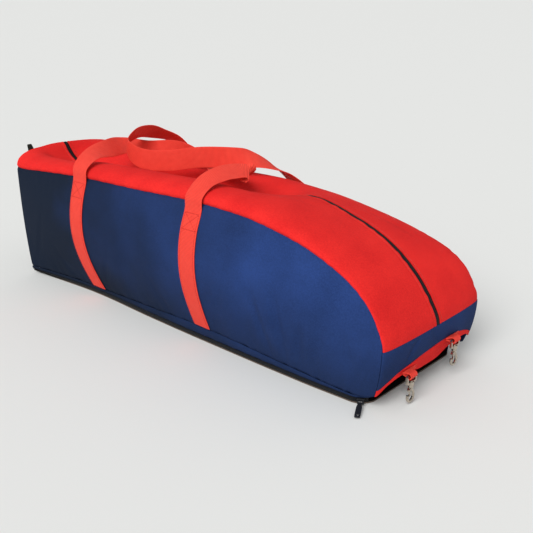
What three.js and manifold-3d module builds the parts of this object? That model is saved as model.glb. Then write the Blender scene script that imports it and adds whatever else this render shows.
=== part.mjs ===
// Baseball equipment bag: a long stuffed duffel of woven polyester, red above and navy below, zipped along
// its top and along its lower front edge, with two webbing handles and two snap hooks over an open mouth.
// Millimetres. +X runs along the bag to its mouth end, +Y to its back, +Z up from the floor it stands on.
import * as THREE from "three";
import { mergeVertices } from "three/addons/utils/BufferGeometryUtils.js";
import Module from "manifold-3d";

const wasm = await Module();
wasm.setup();

// Driving dimensions
const HALF_WIDTH = 140; // middle of the bag to the front colour seam
const WALL = 2; // bag cloth with its turned hems
const WEBBING = 1.8; // thickness of the handles and hook tabs
const WEBBING_WIDTH = 40;
const GAP = 0.4; // between pieces that are sewn or hooked together
const SHOULDER = 2.6; // exponent of the rounded shoulders where the top turns down to its seams
const VALLEY_REACH = 60; // half width of the sag along the zipper
const LOW_BACK_Y = 134;
const FULLNESS = { front: 27, back: 24, ends: 3.5, middleX: 2, halfLength: 459 };
const BAND_TOP_Z = 104; // right end: top of the navy band
const END_X = 461;
const END_LOW_Z = 24; // right end: foot of the side panels
const END_UNDERCUT = 14; // how far the right end draws in from the band down to the floor
const END_BOW = 9; // how far the right end stands out between its two seams
const FAN_X = 300; // where the front and back seams start down to the right end
const LEFT_X = -457;
const LEFT_BOW = 14;
const BASE = { plate: 2.4, drawIn: 3, rightX: 431, corner: 28 };
const ZIPPER_HALF = 4.8; // half of the zipper tape that shows between the top panels

// Sections of the top from the left end over the shoulder to the right end. x and z place the front seam;
// crown is the rise above the seams, valley the sag along the zipper, lean the drop of the back seam,
// back the back seam's y, and zip the zipper's y. The last row only carries the curve on.
const TOP_SECTIONS = [
  { x: -457, z: 237, crown: 42, valley: 0, lean: 16, back: 138, zip: -18 },
  { x: -430, z: 236, crown: 40, valley: 24, lean: 17, back: 137, zip: -17 },
  { x: -395, z: 239, crown: 35, valley: 40, lean: 18, back: 135, zip: -15 },
  { x: -330, z: 244, crown: 32, valley: 42, lean: 18, back: 132, zip: -10 },
  { x: -238, z: 250, crown: 34, valley: 40, lean: 19, back: 130, zip: -6 },
  { x: -80, z: 254, crown: 39, valley: 40, lean: 32, back: 128, zip: 0 },
  { x: 60, z: 259, crown: 36, valley: 34, lean: 33, back: 128, zip: 2 },
  { x: 130, z: 258, crown: 35, valley: 30, lean: 35, back: 128, zip: 4 },
  { x: 205, z: 253, crown: 34, valley: 2, lean: 37, back: 128, zip: 9 },
  { x: 300, z: 235, crown: 26, valley: 0, lean: 30, back: 130, zip: 7 },
  { x: 360, z: 214, crown: 19, valley: 0, lean: 21, back: 133, zip: 4 },
  { x: 405, z: 190, crown: 13, valley: 0, lean: 12, back: 136, zip: -3 },
  { x: 437, z: 160, crown: 9, valley: 0, lean: 6, back: 139, zip: -4 },
  { x: 458, z: 120, crown: 9, valley: 0, lean: 2, back: 140, zip: 0 },
  { x: END_X, z: BAND_TOP_Z, crown: END_BOW, valley: 0, lean: 0, back: 140, zip: 2 },
  { x: END_X, z: 60, crown: END_BOW, valley: 0, lean: 0, back: 140, zip: 2 },
];

// Lower edge along the bag: how far the front panel draws in under it, then the heights of the low seam,
// of the top of the sleeve's zipper, and of the base, which turns up at the left end.
const LOW_SECTIONS = [
  { x: -457, tuck: 12, seam: 16, zip: 9, base: 5 },
  { x: -340, tuck: 24, seam: 16, zip: 8, base: 0 },
  { x: -238, tuck: 26, seam: 17, zip: 9, base: 0 },
  { x: -80, tuck: 16, seam: 23, zip: 10, base: 0 },
  { x: 79, tuck: 9, seam: 28, zip: 10, base: 0 },
  { x: 300, tuck: 3, seam: 20, zip: 10, base: 0 },
  { x: 400, tuck: 4, seam: 15, zip: 10, base: 0 },
  { x: 428, tuck: 5, seam: 16, zip: 10, base: 0 },
  { x: END_X - END_UNDERCUT, tuck: 5.5, seam: END_LOW_Z, zip: 10, base: 0 },
  { x: END_X, tuck: 6, seam: 31, zip: 10, base: 0 },
];

// Soft upright folds in the front panel: middle, depth, half width, half length, and lean of its line.
const FRONT_FOLDS = [
  { x: -90, z: 110, depth: 4, width: 32, reach: 70, lean: 0.2 },
  { x: 205, z: 105, depth: 5, width: 26, reach: 60, lean: 0.25 },
  { x: 300, z: 95, depth: 5, width: 28, reach: 55, lean: -0.2 },
];

// Right end, across it: height of the band's lower seam, and of the mouth's upper lip below it.
const MOUTH_SECTIONS = [
  { y: -140, band: 37, lip: 25 },
  { y: -122, band: 46, lip: 40 },
  { y: -100, band: 54, lip: 48 },
  { y: -66, band: 60, lip: 46 },
  { y: -20, band: 66, lip: 39 },
  { y: 20, band: 69, lip: 43 },
  { y: 64, band: 68, lip: 53 },
  { y: 108, band: 59, lip: 51 },
  { y: 140, band: 44, lip: 36 },
];

// Loose stretch of each handle from its left leg to its right one: middle of the webbing, then the
// direction of its width. The two loops fall across each other and interlace.
const LEG_X = { left: -235, right: 79 };
const LEG_LIFT = 0.7; // from the side panel to the back of the webbing
const LEG_Z = { clear: 4, top: 218, steps: 8 }; // clear of the low seam, and up to the loose stretch
const FRONT_LOOP = [
  { x: -235, y: -144.5, z: 245, wx: 1, wy: 0, wz: 0 },
  { x: -235, y: -141, z: 270, wx: 1, wy: 0, wz: -0.08 },
  { x: -236, y: -114, z: 289, wx: 0.96, wy: 0, wz: -0.28 },
  { x: -244, y: -66, z: 293, wx: 0.7, wy: -0.2, wz: -0.65 },
  { x: -258, y: -14, z: 290, wx: 0.6, wy: -0.6, wz: -0.5 },
  { x: -240, y: 28, z: 277, wx: 0.2, wy: -0.5, wz: -0.84 },
  { x: -168, y: 46, z: 283, wx: 0, wy: 0, wz: -1 },
  { x: -105, y: 44, z: 279, wx: 0, wy: 0.3, wz: -0.95 },
  { x: -62, y: 39, z: 269, wx: 0, wy: 0.97, wz: -0.22 },
  { x: -20, y: 29, z: 263, wx: 0, wy: 1, wz: 0 },
  { x: 20, y: 17, z: 266, wx: 0.1, wy: 0.98, wz: 0 },
  { x: 44, y: 0, z: 274, wx: 0.4, wy: 0.9, wz: 0 },
  { x: 66, y: -22, z: 284, wx: 0.55, wy: 0.82, wz: 0 },
  { x: 87, y: -37, z: 291, wx: 0.5, wy: 0.82, wz: -0.05 },
  { x: 100, y: -41, z: 293.5, wx: 0, wy: 0.98, wz: 0.08 },
  { x: 109, y: -43, z: 296, wx: -0.35, wy: 0.88, wz: 0.2 },
  { x: 111, y: -45.5, z: 299.5, wx: -0.52, wy: 0.79, wz: 0.28 },
  { x: 105, y: -52, z: 301.5, wx: -0.58, wy: 0.74, wz: 0.34 },
  { x: 98, y: -66, z: 302, wx: -0.76, wy: 0.5, wz: 0.4 },
  { x: 90, y: -91, z: 300.5, wx: -0.9, wy: 0.2, wz: 0.38 },
  { x: 82, y: -119, z: 291, wx: -0.97, wy: 0.1, wz: 0.2 },
  { x: 79, y: -143, z: 270, wx: -1, wy: 0, wz: 0 },
  { x: 79, y: -146, z: 248, wx: -1, wy: 0, wz: 0 },
];
const REAR_LOOP = [
  { x: -235, y: 136, z: 230, wx: 1, wy: 0, wz: 0 },
  { x: -236, y: 133, z: 262, wx: 1, wy: 0, wz: 0 },
  { x: -243, y: 107, z: 289, wx: 1, wy: 0, wz: 0.35 },
  { x: -250, y: 66, z: 305, wx: 0.8, wy: 0, wz: 0.6 },
  { x: -240, y: 24, z: 316, wx: 0.7, wy: 0.1, wz: 0.7 },
  { x: -227, y: -20, z: 313.5, wx: 0.5, wy: 0.2, wz: 0.85 },
  { x: -208, y: -47, z: 297, wx: 0.3, wy: -0.2, wz: 0.95 },
  { x: -172, y: -46, z: 282, wx: 0.1, wy: 0, wz: 1 },
  { x: -120, y: -26, z: 281, wx: 0, wy: 0, wz: 1 },
  { x: -60, y: 8, z: 291, wx: 0, wy: 0, wz: 1 },
  { x: -4, y: 50, z: 290.5, wx: -0.2, wy: 0.15, wz: 0.97 },
  { x: 20, y: 74, z: 286.5, wx: -0.55, wy: 0.68, wz: 0.48 },
  { x: 40, y: 97, z: 275, wx: -0.74, wy: 0.62, wz: 0.1 },
  { x: 57, y: 121, z: 257, wx: -0.88, wy: 0.4, wz: -0.2 },
  { x: 77, y: 137, z: 230, wx: -1, wy: 0, wz: 0 },
];

// Small webbing tab folded double on the left end: its outline from the sewn foot to the fold and back.
const END_TAB = { y: -97, footHalf: 8, tipHalf: 4, thick: 1.2 };
const END_TAB_PATH = [
  { x: -460.4, z: 246 },
  { x: -461.4, z: 258 },
  { x: -469, z: 275 },
  { x: -471, z: 276.4 },
  { x: -473, z: 274.4 },
  { x: -465, z: 257 },
  { x: -463.8, z: 246 },
];

// Snap hooks: the eye's bar runs through a folded webbing tab, a post under the eye lets the hook turn.
const HOOK_PLACES = [
  { side: "front", x: 475, y: -77, z: 49, rootX: 466, rootZ: 52, low: -88, high: -48 },
  { side: "rear", x: 479, y: 43, z: 68.5, rootX: 468.6, rootZ: 68.5, low: 32, high: 72 },
];
const TAB = { half: 8, loop: 5.4, layers: 2 }; // at the fold, and half the space of the layers at the root
const EYE = { halfWidth: 13, halfWindow: 9.4, top: 2, barLow: -2, windowLow: -10.4, low: -13.6, depth: 3.6 };
const BOSS = { radius: 4.8, top: -10.4, low: -17, bore: 2.4 };
const POST = { radius: 2.1, head: 3.6, headTop: -8, collar: 4.2, low: -20.8 };
const WIRE = 2.2; // radius of the hook's bent rod
const BEND = { radius: 8.2, z: -36.4, tipZ: -32.4 };
const GATE = { y: -4.3, z: -24.8, ring: 2.9, bore: 1.3, pin: 1, half: 1.2, low: -34.6, lean: 0.4, lap: 0.2 };

// Zip slider with a flat pull on a pin between two ears.
const SLIDER = { length: 11, height: 8, depth: 4, earOut: 5, earThick: 1.6, earIn: 3.4, pin: 0.9, pinOut: 2.6 };
const SLEEVE_PULL = { x: 421.8, y: -132, z: 6.8, turn: 0.5, droop: 0.1 };
const MAIN_PULL = { x: -150, lift: 5.7, droop: -1.71 };
const PULL = { length: 40, width: 9, thick: 1.8, knuckle: 2, bore: 1.2, half: 3, hole: 2.4, holeBack: 6 };

const CLOTH_RED = new THREE.MeshStandardMaterial({ color: 0xc8171f, roughness: 0.85, metalness: 0 });
const CLOTH_NAVY = new THREE.MeshStandardMaterial({ color: 0x1d2f63, roughness: 0.85, metalness: 0 });
const WEB_RED = new THREE.MeshStandardMaterial({ color: 0xe0281f, roughness: 0.7, metalness: 0 });
const ZIP_BLACK = new THREE.MeshStandardMaterial({ color: 0x141416, roughness: 0.6, metalness: 0 });
const BASE_DARK = new THREE.MeshStandardMaterial({ color: 0x2c2a28, roughness: 0.8, metalness: 0 });
const NICKEL = new THREE.MeshStandardMaterial({ color: 0xc9c3b8, roughness: 0.25, metalness: 1 });
const PULL_BLACK = new THREE.MeshStandardMaterial({ color: 0x1b1c1f, roughness: 0.4, metalness: 0.6 });

const bag = new THREE.Group();

function place(name, geometry, material, parent = bag) {
  const mesh = new THREE.Mesh(geometry, material);
  mesh.name = name;
  parent.add(mesh);
}

// Evenly spaced values from first to last.
function spaced(first, last, steps) {
  return Array.from({ length: steps + 1 }, (_, i) => first + ((last - first) * i) / steps);
}

// Smooth curve through the rows of a table: between rows a cubic, whose slope at each row is that of the
// chord between the rows on either side.
function curveThrough(knots, rows) {
  const last = knots.length - 1;
  const keys = Object.keys(rows[0]);
  const slope = (i, key) => {
    const before = Math.max(i - 1, 0);
    const after = Math.min(i + 1, last);
    return (rows[after][key] - rows[before][key]) / (knots[after] - knots[before]);
  };
  return (at) => {
    let i = 0;
    while (i < last - 1 && at >= knots[i + 1]) i += 1;
    const span = knots[i + 1] - knots[i];
    const u = (at - knots[i]) / span;
    const value = {};
    for (const key of keys) {
      const hold = (1 + 2 * u) * (1 - u) ** 2 * rows[i][key] + u * u * (3 - 2 * u) * rows[i + 1][key];
      const turn = u * (1 - u) ** 2 * slope(i, key) - u * u * (1 - u) * slope(i + 1, key);
      value[key] = hold + span * turn;
    }
    return value;
  };
}

// Distances along a table's rows, by the columns that hold their place.
function distances(rows, columns) {
  let total = 0;
  return rows.map((row, i) => {
    if (i > 0) total += Math.hypot(...columns.map((key) => row[key] - rows[i - 1][key]));
    return total;
  });
}

// Closed cloth wall: a grid of points on one face, the same grid set in along the face's normal or a given
// direction, and a rim. The face looks along (change with u) x (change with v).
function wall(us, vs, point, thickness, inward = null) {
  const small = 1e-3;
  const normalAt = (u, v) => {
    const du = small * (us.at(-1) - us[0]);
    const dv = small * (vs.at(-1) - vs[0]);
    const clampU = (value) => Math.min(Math.max(value, us[0]), us.at(-1));
    const clampV = (value) => Math.min(Math.max(value, vs[0]), vs.at(-1));
    const alongU = point(clampU(u + du), v).sub(point(clampU(u - du), v));
    const alongV = point(u, clampV(v + dv)).sub(point(u, clampV(v - dv)));
    return alongU.cross(alongV).normalize();
  };
  const face = [];
  const inside = [];
  for (const u of us) {
    for (const v of vs) {
      const p = point(u, v);
      face.push(p);
      const through = inward ?? normalAt(u, v).negate();
      inside.push(p.clone().addScaledVector(through, thickness));
    }
  }
  const rows = us.length;
  const columns = vs.length;
  const under = rows * columns;
  const id = (i, j) => i * columns + j;
  const index = [];
  const quad = (a, b, c, d) => index.push(a, b, c, a, c, d);
  for (let i = 0; i < rows - 1; i += 1) {
    for (let j = 0; j < columns - 1; j += 1) {
      quad(id(i, j), id(i + 1, j), id(i + 1, j + 1), id(i, j + 1));
      quad(under + id(i, j), under + id(i, j + 1), under + id(i + 1, j + 1), under + id(i + 1, j));
    }
    const far = columns - 1;
    quad(id(i, 0), under + id(i, 0), under + id(i + 1, 0), id(i + 1, 0));
    quad(id(i, far), id(i + 1, far), under + id(i + 1, far), under + id(i, far));
  }
  for (let j = 0; j < columns - 1; j += 1) {
    const far = rows - 1;
    quad(id(0, j), id(0, j + 1), under + id(0, j + 1), under + id(0, j));
    quad(id(far, j), under + id(far, j), under + id(far, j + 1), id(far, j + 1));
  }
  const geometry = new THREE.BufferGeometry().setFromPoints([...face, ...inside]);
  geometry.setIndex(index);
  geometry.computeVertexNormals();
  return geometry;
}

// Joins and cuts of closed solids.
function solid(geometry) {
  const bare = geometry.clone();
  bare.deleteAttribute("normal");
  bare.deleteAttribute("uv");
  const merged = mergeVertices(bare, 1e-4);
  const vertProperties = new Float32Array(merged.attributes.position.array);
  const triVerts = new Uint32Array(merged.index.array);
  return new wasm.Manifold(new wasm.Mesh({ numProp: 3, vertProperties, triVerts }));
}

function fromSolid(body) {
  const { vertProperties, triVerts } = body.getMesh();
  const geometry = new THREE.BufferGeometry();
  geometry.setAttribute("position", new THREE.BufferAttribute(new Float32Array(vertProperties), 3));
  geometry.setIndex(new THREE.BufferAttribute(new Uint32Array(triVerts), 1));
  geometry.computeVertexNormals();
  return geometry;
}

// Round rod from one end to the other along a main axis.
function rod(radius, axis, from, to, sides = 12) {
  const geometry = new THREE.CylinderGeometry(radius, radius, to - from, sides);
  if (axis === "x") geometry.rotateZ(-Math.PI / 2);
  if (axis === "z") geometry.rotateX(Math.PI / 2);
  const middle = (from + to) / 2;
  geometry.translate(axis === "x" ? middle : 0, axis === "y" ? middle : 0, axis === "z" ? middle : 0);
  return geometry;
}

// Flat plate in the Y-Z plane, its outline drawn as (y, z), between two values of x.
function plate(shape, from, to) {
  const along = { depth: to - from, bevelEnabled: false, curveSegments: 5 };
  const geometry = new THREE.ExtrudeGeometry(shape, along);
  geometry.applyMatrix4(new THREE.Matrix4().set(0, 0, 1, from, 1, 0, 0, 0, 0, 1, 0, 0, 0, 0, 0, 1));
  return geometry;
}

// The bag's form: the seam line along the top, and the surfaces that hang from it.
const topKnots = distances(TOP_SECTIONS, ["x", "z"]);
const topCurve = curveThrough(topKnots, TOP_SECTIONS);
const topEnd = topKnots.at(-2);
const lowCurve = curveThrough(LOW_SECTIONS.map((row) => row.x), LOW_SECTIONS);
const mouthCurve = curveThrough(MOUTH_SECTIONS.map((row) => row.y), MOUTH_SECTIONS);

function topSection(s) {
  const row = topCurve(s);
  const ahead = topCurve(Math.min(s + 0.5, topKnots.at(-1)));
  const behind = topCurve(Math.max(s - 0.5, 0));
  const step = new THREE.Vector2(ahead.x - behind.x, ahead.z - behind.z).normalize();
  return { ...row, nx: -step.y, nz: step.x };
}

// Rounded rise between two seams, 0 at t = -1 and 1, and 1 in the middle.
function shoulder(t) {
  return Math.max(1 - Math.abs(t) ** SHOULDER, 0) ** (1 / SHOULDER);
}

function crossPlace(row, y) {
  return (2 * y + HALF_WIDTH - row.back) / (HALF_WIDTH + row.back);
}

// Top surface: a section s along the bag, and t across it from the front seam (-1) to the back seam (1).
function topPoint(s, t) {
  const row = topSection(s);
  const y = (row.back - HALF_WIDTH + (row.back + HALF_WIDTH) * t) / 2;
  const sag = row.valley * Math.exp(-(((y - row.zip) / VALLEY_REACH) ** 2)) * (1 - t ** 4);
  const rise = row.crown * shoulder(t) - sag + GAP / 2;
  return new THREE.Vector3(row.x + row.nx * rise, y, row.z - (row.lean * (1 + t)) / 2 + row.nz * rise);
}

function endX(z) {
  return END_X - END_UNDERCUT * ((BAND_TOP_Z - z) / (BAND_TOP_Z - END_LOW_Z)) ** 2;
}

function fullness(x) {
  const along = Math.abs((x - FULLNESS.middleX) / FULLNESS.halfLength);
  return Math.max(1 - along ** FULLNESS.ends, 0);
}

function foldDepth(x, z) {
  return FRONT_FOLDS.reduce((depth, fold) => {
    const across = (x - fold.x - fold.lean * (z - fold.z)) / fold.width;
    const along = (z - fold.z) / fold.reach;
    return depth + fold.depth * Math.exp(-(across ** 2) - along ** 2);
  }, 0);
}

// Station along the top whose seam lies at a given x.
function stationAt(x) {
  let low = 0;
  let high = topEnd;
  for (let i = 0; i < 40; i += 1) {
    const middle = (low + high) / 2;
    if (topCurve(middle).x < x) low = middle;
    else high = middle;
  }
  return low;
}

// Side panels: r runs from the top seam (0) to the low seam (1). Where the seam comes down to the right end,
// the panel's threads fan out to the drawn-in lower corner.
const fanStart = stationAt(FAN_X);
function sidePoint(s, r, side) {
  const row = topSection(s);
  const seamZ = row.z - (side === "back" ? row.lean : 0) - (row.nz * GAP) / 2;
  const fan = Math.max((s - fanStart) / (topEnd - fanStart), 0);
  const lowX = s > fanStart ? FAN_X + fan * (endX(END_LOW_Z) - FAN_X) : row.x;
  const z = seamZ + r * (lowCurve(lowX).seam - seamZ);
  const x = row.x + (lowX - row.x) * r * r - (row.nx * GAP) / 2;
  const belly = FULLNESS[side] * fullness(row.x) * Math.sin(Math.PI * r ** 0.9);
  if (side === "back") {
    return new THREE.Vector3(x, row.back + (LOW_BACK_Y - row.back) * r * r + belly, z);
  }
  const y = -(HALF_WIDTH + belly - lowCurve(row.x).tuck * r * r) + foldDepth(row.x, z) * fullness(row.x);
  return new THREE.Vector3(x, y, z);
}

// Right end below the top panels: t across, z up.
function endPoint(t, z) {
  const below = (BAND_TOP_Z - z) / (BAND_TOP_Z - END_LOW_Z);
  const half = HALF_WIDTH - lowCurve(END_X).tuck * below * below;
  return new THREE.Vector3(endX(z) + END_BOW * shoulder(t) + 2 * GAP, half * t, z);
}

// How far the base's rounded right corners draw in at x.
const cornerX = BASE.rightX - BASE.corner;
function cornerIn(x) {
  return BASE.corner - Math.sqrt(BASE.corner ** 2 - Math.max(x - cornerX, 0) ** 2);
}

// Front lower edge of the bag, where the base wall starts.
function lowFrontY(x) {
  return lowCurve(x).tuck - HALF_WIDTH;
}

// Base: a flat bottom, low walls, and the black zipper along the front edge.
const alongBase = (from, steps, turns) => [
  ...spaced(from, cornerX, steps),
  ...turns.map((turn) => cornerX + BASE.corner * Math.sin(turn)),
];
const baseZ = (x) => Math.max(lowCurve(x).base, 0);
const bottomFace = (v, x) => {
  const front = lowFrontY(x) + BASE.drawIn + cornerIn(x);
  const back = LOW_BACK_Y - BASE.drawIn - cornerIn(x);
  return new THREE.Vector3(x, front + v * (back - front), baseZ(x));
};
const bottomXs = alongBase(LEFT_X + 2, 16, [0.25, 0.5, 0.75, 1, 1.25, 1.45]);
place("bottom_panel", wall([0, 0.5, 1], bottomXs, bottomFace, BASE.plate), BASE_DARK);

const toBack = new THREE.Vector3(0, 1, 0);
const toFront = new THREE.Vector3(0, -1, 0);
const wallXs = alongBase(LEFT_X + GAP, 30, [0.25, 0.5, 0.75, 1]);
const seamLow = (x) => lowCurve(x).seam - GAP;
const zipTop = (x) => lowCurve(x).zip;
const zipLow = (x) => baseZ(x) + BASE.plate + GAP;
const frontWall = (high, low, drawHigh, drawLow) => (x, v) => {
  const draw = drawLow + v * (drawHigh - drawLow) + cornerIn(x);
  return new THREE.Vector3(x, lowFrontY(x) + draw, low(x) + v * (high(x) - low(x)));
};
const frontWallFace = frontWall(seamLow, (x) => zipTop(x) + GAP, 0, BASE.drawIn - 1);
place("base_wall_front", wall(wallXs, [0, 0.5, 1], frontWallFace, WALL, toBack), CLOTH_NAVY);
const zipFace = frontWall(zipTop, zipLow, BASE.drawIn - 0.6, BASE.drawIn);
place("sleeve_zipper", wall(wallXs, [0, 1], zipFace, WALL, toBack), ZIP_BLACK);
const backWallFace = (x, v) => {
  const z = seamLow(x) + v * (zipLow(x) - seamLow(x));
  return new THREE.Vector3(x, LOW_BACK_Y - BASE.drawIn * v - cornerIn(x), z);
};
place("base_wall_back", wall(wallXs, [0, 0.5, 1], backWallFace, WALL, toFront), CLOTH_NAVY);

// Side panels, filled out by what the bag holds.
const stations = [...spaced(0, fanStart, 18), ...spaced(fanStart, topEnd, 10).slice(1)];
const upwards = spaced(0, 1, 9);
const frontFace = (s, v) => sidePoint(s, 1 - v, "front");
const backFace = (s, v) => sidePoint(s, v, "back");
place("front_panel", wall(stations, upwards, frontFace, WALL, toBack), CLOTH_NAVY);
place("back_panel", wall(stations, upwards, backFace, WALL, toFront), CLOTH_NAVY);

// Left end: a panel set inside the rim of the sides and top.
const rimInset = WALL + GAP;
const leftFloor = zipLow(LEFT_X);
const leftSeamZ = lowCurve(LEFT_X).seam;
const leftTop = (t) => {
  const step = 1e-3;
  const ahead = topPoint(0, Math.min(t + step, 1));
  const behind = topPoint(0, Math.max(t - step, -1));
  const along = new THREE.Vector2(ahead.y - behind.y, ahead.z - behind.z).normalize();
  const p = topPoint(0, t);
  return new THREE.Vector2(p.y + along.y * rimInset, p.z - along.x * rimInset);
};
const leftSideY = (side, z) => {
  const row = topSection(0);
  const seamZ = row.z - (side === "back" ? row.lean : 0);
  const r = Math.min(Math.max((seamZ - z) / (seamZ - leftSeamZ), 0), 1);
  const height = (z - baseZ(LEFT_X)) / (leftSeamZ - baseZ(LEFT_X));
  const toFloor = (BASE.drawIn + 3 * GAP) * Math.max(1 - height, 0);
  const y = sidePoint(0, r, side).y;
  return side === "back" ? y - rimInset - toFloor : y + rimInset + toFloor;
};
const leftFace = (v, t) => {
  const top = leftTop(t);
  const front = leftTop(-1);
  const back = leftTop(1);
  const frontY = leftSideY("front", leftFloor + v * (front.y - leftFloor));
  const backY = leftSideY("back", leftFloor + v * (back.y - leftFloor));
  const share = (top.x - front.x) / (back.x - front.x);
  const bow = LEFT_BOW * (1 - t * t) * Math.sin(Math.PI * v) ** 0.8;
  const y = frontY + (backY - frontY) * share;
  return new THREE.Vector3(LEFT_X - bow, y, leftFloor + v * (top.y - leftFloor));
};
const acrossEnd = spaced(-Math.PI / 2, Math.PI / 2, 14).map(Math.sin);
place("left_end_panel", wall(spaced(0, 1, 8), acrossEnd, leftFace, WALL), CLOTH_NAVY);

// Right end: a navy band, then a red facing down to the lip of the mouth.
const bandFace = (t, v) => {
  const low = mouthCurve(HALF_WIDTH * t).band + GAP / 2;
  return endPoint(t, low + v * (BAND_TOP_Z - GAP / 2 - low));
};
place("right_end_band", wall(acrossEnd, spaced(0, 1, 3), bandFace, WALL), CLOTH_NAVY);
const facingFace = (t, v) => {
  const { band, lip } = mouthCurve(HALF_WIDTH * t);
  return endPoint(t, lip + v * (band - GAP / 2 - lip));
};
place("mouth_facing", wall(acrossEnd, [0, 0.5, 1], facingFace, WALL), CLOTH_RED);

// Top panels on either side of the main zipper.
const zipPlace = (s, offset) => crossPlace(topSection(s), topSection(s).zip + offset);
const panelEdge = ZIPPER_HALF + GAP;
const fromSeam = spaced(0, Math.PI / 2, 8).map((angle) => 1 - Math.cos(angle));
const toSeam = spaced(0, Math.PI / 2, 8).map(Math.sin);
const topFront = (s, v) => topPoint(s, -1 + (zipPlace(s, -panelEdge) + 1) * v);
const topBack = (s, v) => topPoint(s, zipPlace(s, panelEdge) + (1 - zipPlace(s, panelEdge)) * v);
place("top_panel_front", wall(stations, fromSeam, topFront, WALL), CLOTH_RED);
place("top_panel_back", wall(stations, toSeam, topBack, WALL), CLOTH_RED);
const zipperFace = (s, v) => topPoint(s, zipPlace(s, v * ZIPPER_HALF));
place("main_zipper", wall(stations, [-1, 1], zipperFace, WALL), ZIP_BLACK);

// Handles: one length of webbing each, sewn up the side panel, loose over the top, and sewn down again.
function legRows(side, x, lift) {
  const s = stationAt(x);
  const seamZ = sidePoint(s, 0, side).z;
  const lowZ = lowCurve(x).seam;
  return spaced(lowZ + LEG_Z.clear, LEG_Z.top, LEG_Z.steps).map((z) => {
    const r = (seamZ - z) / (seamZ - lowZ);
    const p = sidePoint(s, r, side);
    const along = sidePoint(s + 5, r, side).sub(sidePoint(s - 5, r, side));
    const up = sidePoint(s, r - 0.01, side).sub(sidePoint(s, r + 0.01, side));
    const out = side === "front" ? along.clone().cross(up) : up.clone().cross(along);
    p.addScaledVector(out.normalize(), lift);
    along.normalize();
    return { x: p.x, y: p.y, z: p.z, wx: along.x, wy: along.y, wz: along.z };
  });
}

function turned(row) {
  return { ...row, wx: -row.wx, wy: -row.wy, wz: -row.wz };
}

function handle(side, loop) {
  const lift = side === "front" ? LEG_LIFT : LEG_LIFT + WEBBING;
  const down = legRows(side, LEG_X.right, lift).reverse().map(turned);
  const rows = [...legRows(side, LEG_X.left, lift), ...loop, ...down];
  const knots = distances(rows, ["x", "y", "z"]);
  const curve = curveThrough(knots, rows);
  const middle = (at) => {
    const row = curve(Math.min(Math.max(at, 0), knots.at(-1)));
    return new THREE.Vector3(row.x, row.y, row.z);
  };
  const face = (at, v) => {
    const row = curve(at);
    const tangent = middle(at + 1).sub(middle(at - 1)).normalize();
    const width = new THREE.Vector3(row.wx, row.wy, row.wz);
    width.addScaledVector(tangent, -width.dot(tangent)).normalize();
    return middle(at).addScaledVector(width, (v * WEBBING_WIDTH) / 2);
  };
  const along = knots.slice(1).flatMap((knot, i) => spaced(knots[i], knot, 2).slice(1));
  return wall([0, ...along], [-1, 1], face, WEBBING);
}
place("handle_front", handle("front", FRONT_LOOP), WEB_RED);
place("handle_rear", handle("back", REAR_LOOP), WEB_RED);

// Left end: the folded tab.
const endTabFace = (i, v) => {
  const low = Math.floor(Math.min(i, END_TAB_PATH.length - 2));
  const from = END_TAB_PATH[low];
  const to = END_TAB_PATH[low + 1];
  const share = i - low;
  const x = from.x + share * (to.x - from.x);
  const z = from.z + share * (to.z - from.z);
  const rise = (z - END_TAB_PATH[0].z) / (END_TAB_PATH[3].z - END_TAB_PATH[0].z);
  const half = END_TAB.footHalf + rise * (END_TAB.tipHalf - END_TAB.footHalf);
  return new THREE.Vector3(x, END_TAB.y - v * half, z);
};
const endTabSteps = spaced(0, END_TAB_PATH.length - 1, END_TAB_PATH.length - 1);
place("end_tab", wall(endTabSteps, [-1, 0, 1], endTabFace, END_TAB.thick), ZIP_BLACK);

// Hook tabs: webbing folded over the eye's bar, wide at its sewn root and gathered at the fold.
function hookTab({ x, y, z, rootX, rootZ, low, high }) {
  const { half, loop, layers } = TAB;
  const round = (angle) => ({ x: x + loop * Math.cos(angle), z: z + loop * Math.sin(angle) });
  const fold = spaced(1.9, -1.9, 10).map(round);
  const over = { x: rootX, z: rootZ + layers };
  const under = { x: rootX, z: rootZ - layers };
  const neck = (root, end) => {
    const share = (x - loop - rootX) / (end.x - rootX);
    return { x: x - loop, z: root.z + share * (end.z - root.z) };
  };
  const path = [over, neck(over, fold[0]), ...fold, neck(under, fold.at(-1)), under];
  const face = (i, v) => {
    const step = Math.floor(Math.min(i, path.length - 2));
    const share = i - step;
    const px = path[step].x + share * (path[step + 1].x - path[step].x);
    const pz = path[step].z + share * (path[step + 1].z - path[step].z);
    const out = Math.min(Math.max((px - rootX) / (x - loop - rootX), 0), 1);
    const from = low + out * (y - half - low);
    const to = high + out * (y + half - high);
    return new THREE.Vector3(px, from + v * (to - from), pz);
  };
  return wall(spaced(0, path.length - 1, path.length - 1), [0, 0.5, 1], face, WEBBING);
}

function roundedOutline(path, half, low, high, corner) {
  path.moveTo(-half + corner, low);
  path.lineTo(half - corner, low);
  path.quadraticCurveTo(half, low, half, low + corner);
  path.lineTo(half, high - corner);
  path.quadraticCurveTo(half, high, half - corner, high);
  path.lineTo(-half + corner, high);
  path.quadraticCurveTo(-half, high, -half, high - corner);
  path.lineTo(-half, low + corner);
  path.quadraticCurveTo(-half, low, -half + corner, low);
  return path;
}

// Eye: a flat oblong frame with a bored boss under it for the hook's post.
function hookEye() {
  const frame = roundedOutline(new THREE.Shape(), EYE.halfWidth, EYE.low, EYE.top, 4);
  frame.holes.push(roundedOutline(new THREE.Path(), EYE.halfWindow, EYE.windowLow, EYE.barLow, 1.2));
  const ring = solid(plate(frame, -EYE.depth / 2, EYE.depth / 2));
  const boss = solid(rod(BOSS.radius, "z", BOSS.low, BOSS.top, 16));
  const bore = solid(rod(BOSS.bore, "z", BOSS.low - 1, BOSS.top + 1, 16));
  return fromSolid(ring.add(boss).subtract(bore));
}

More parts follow.
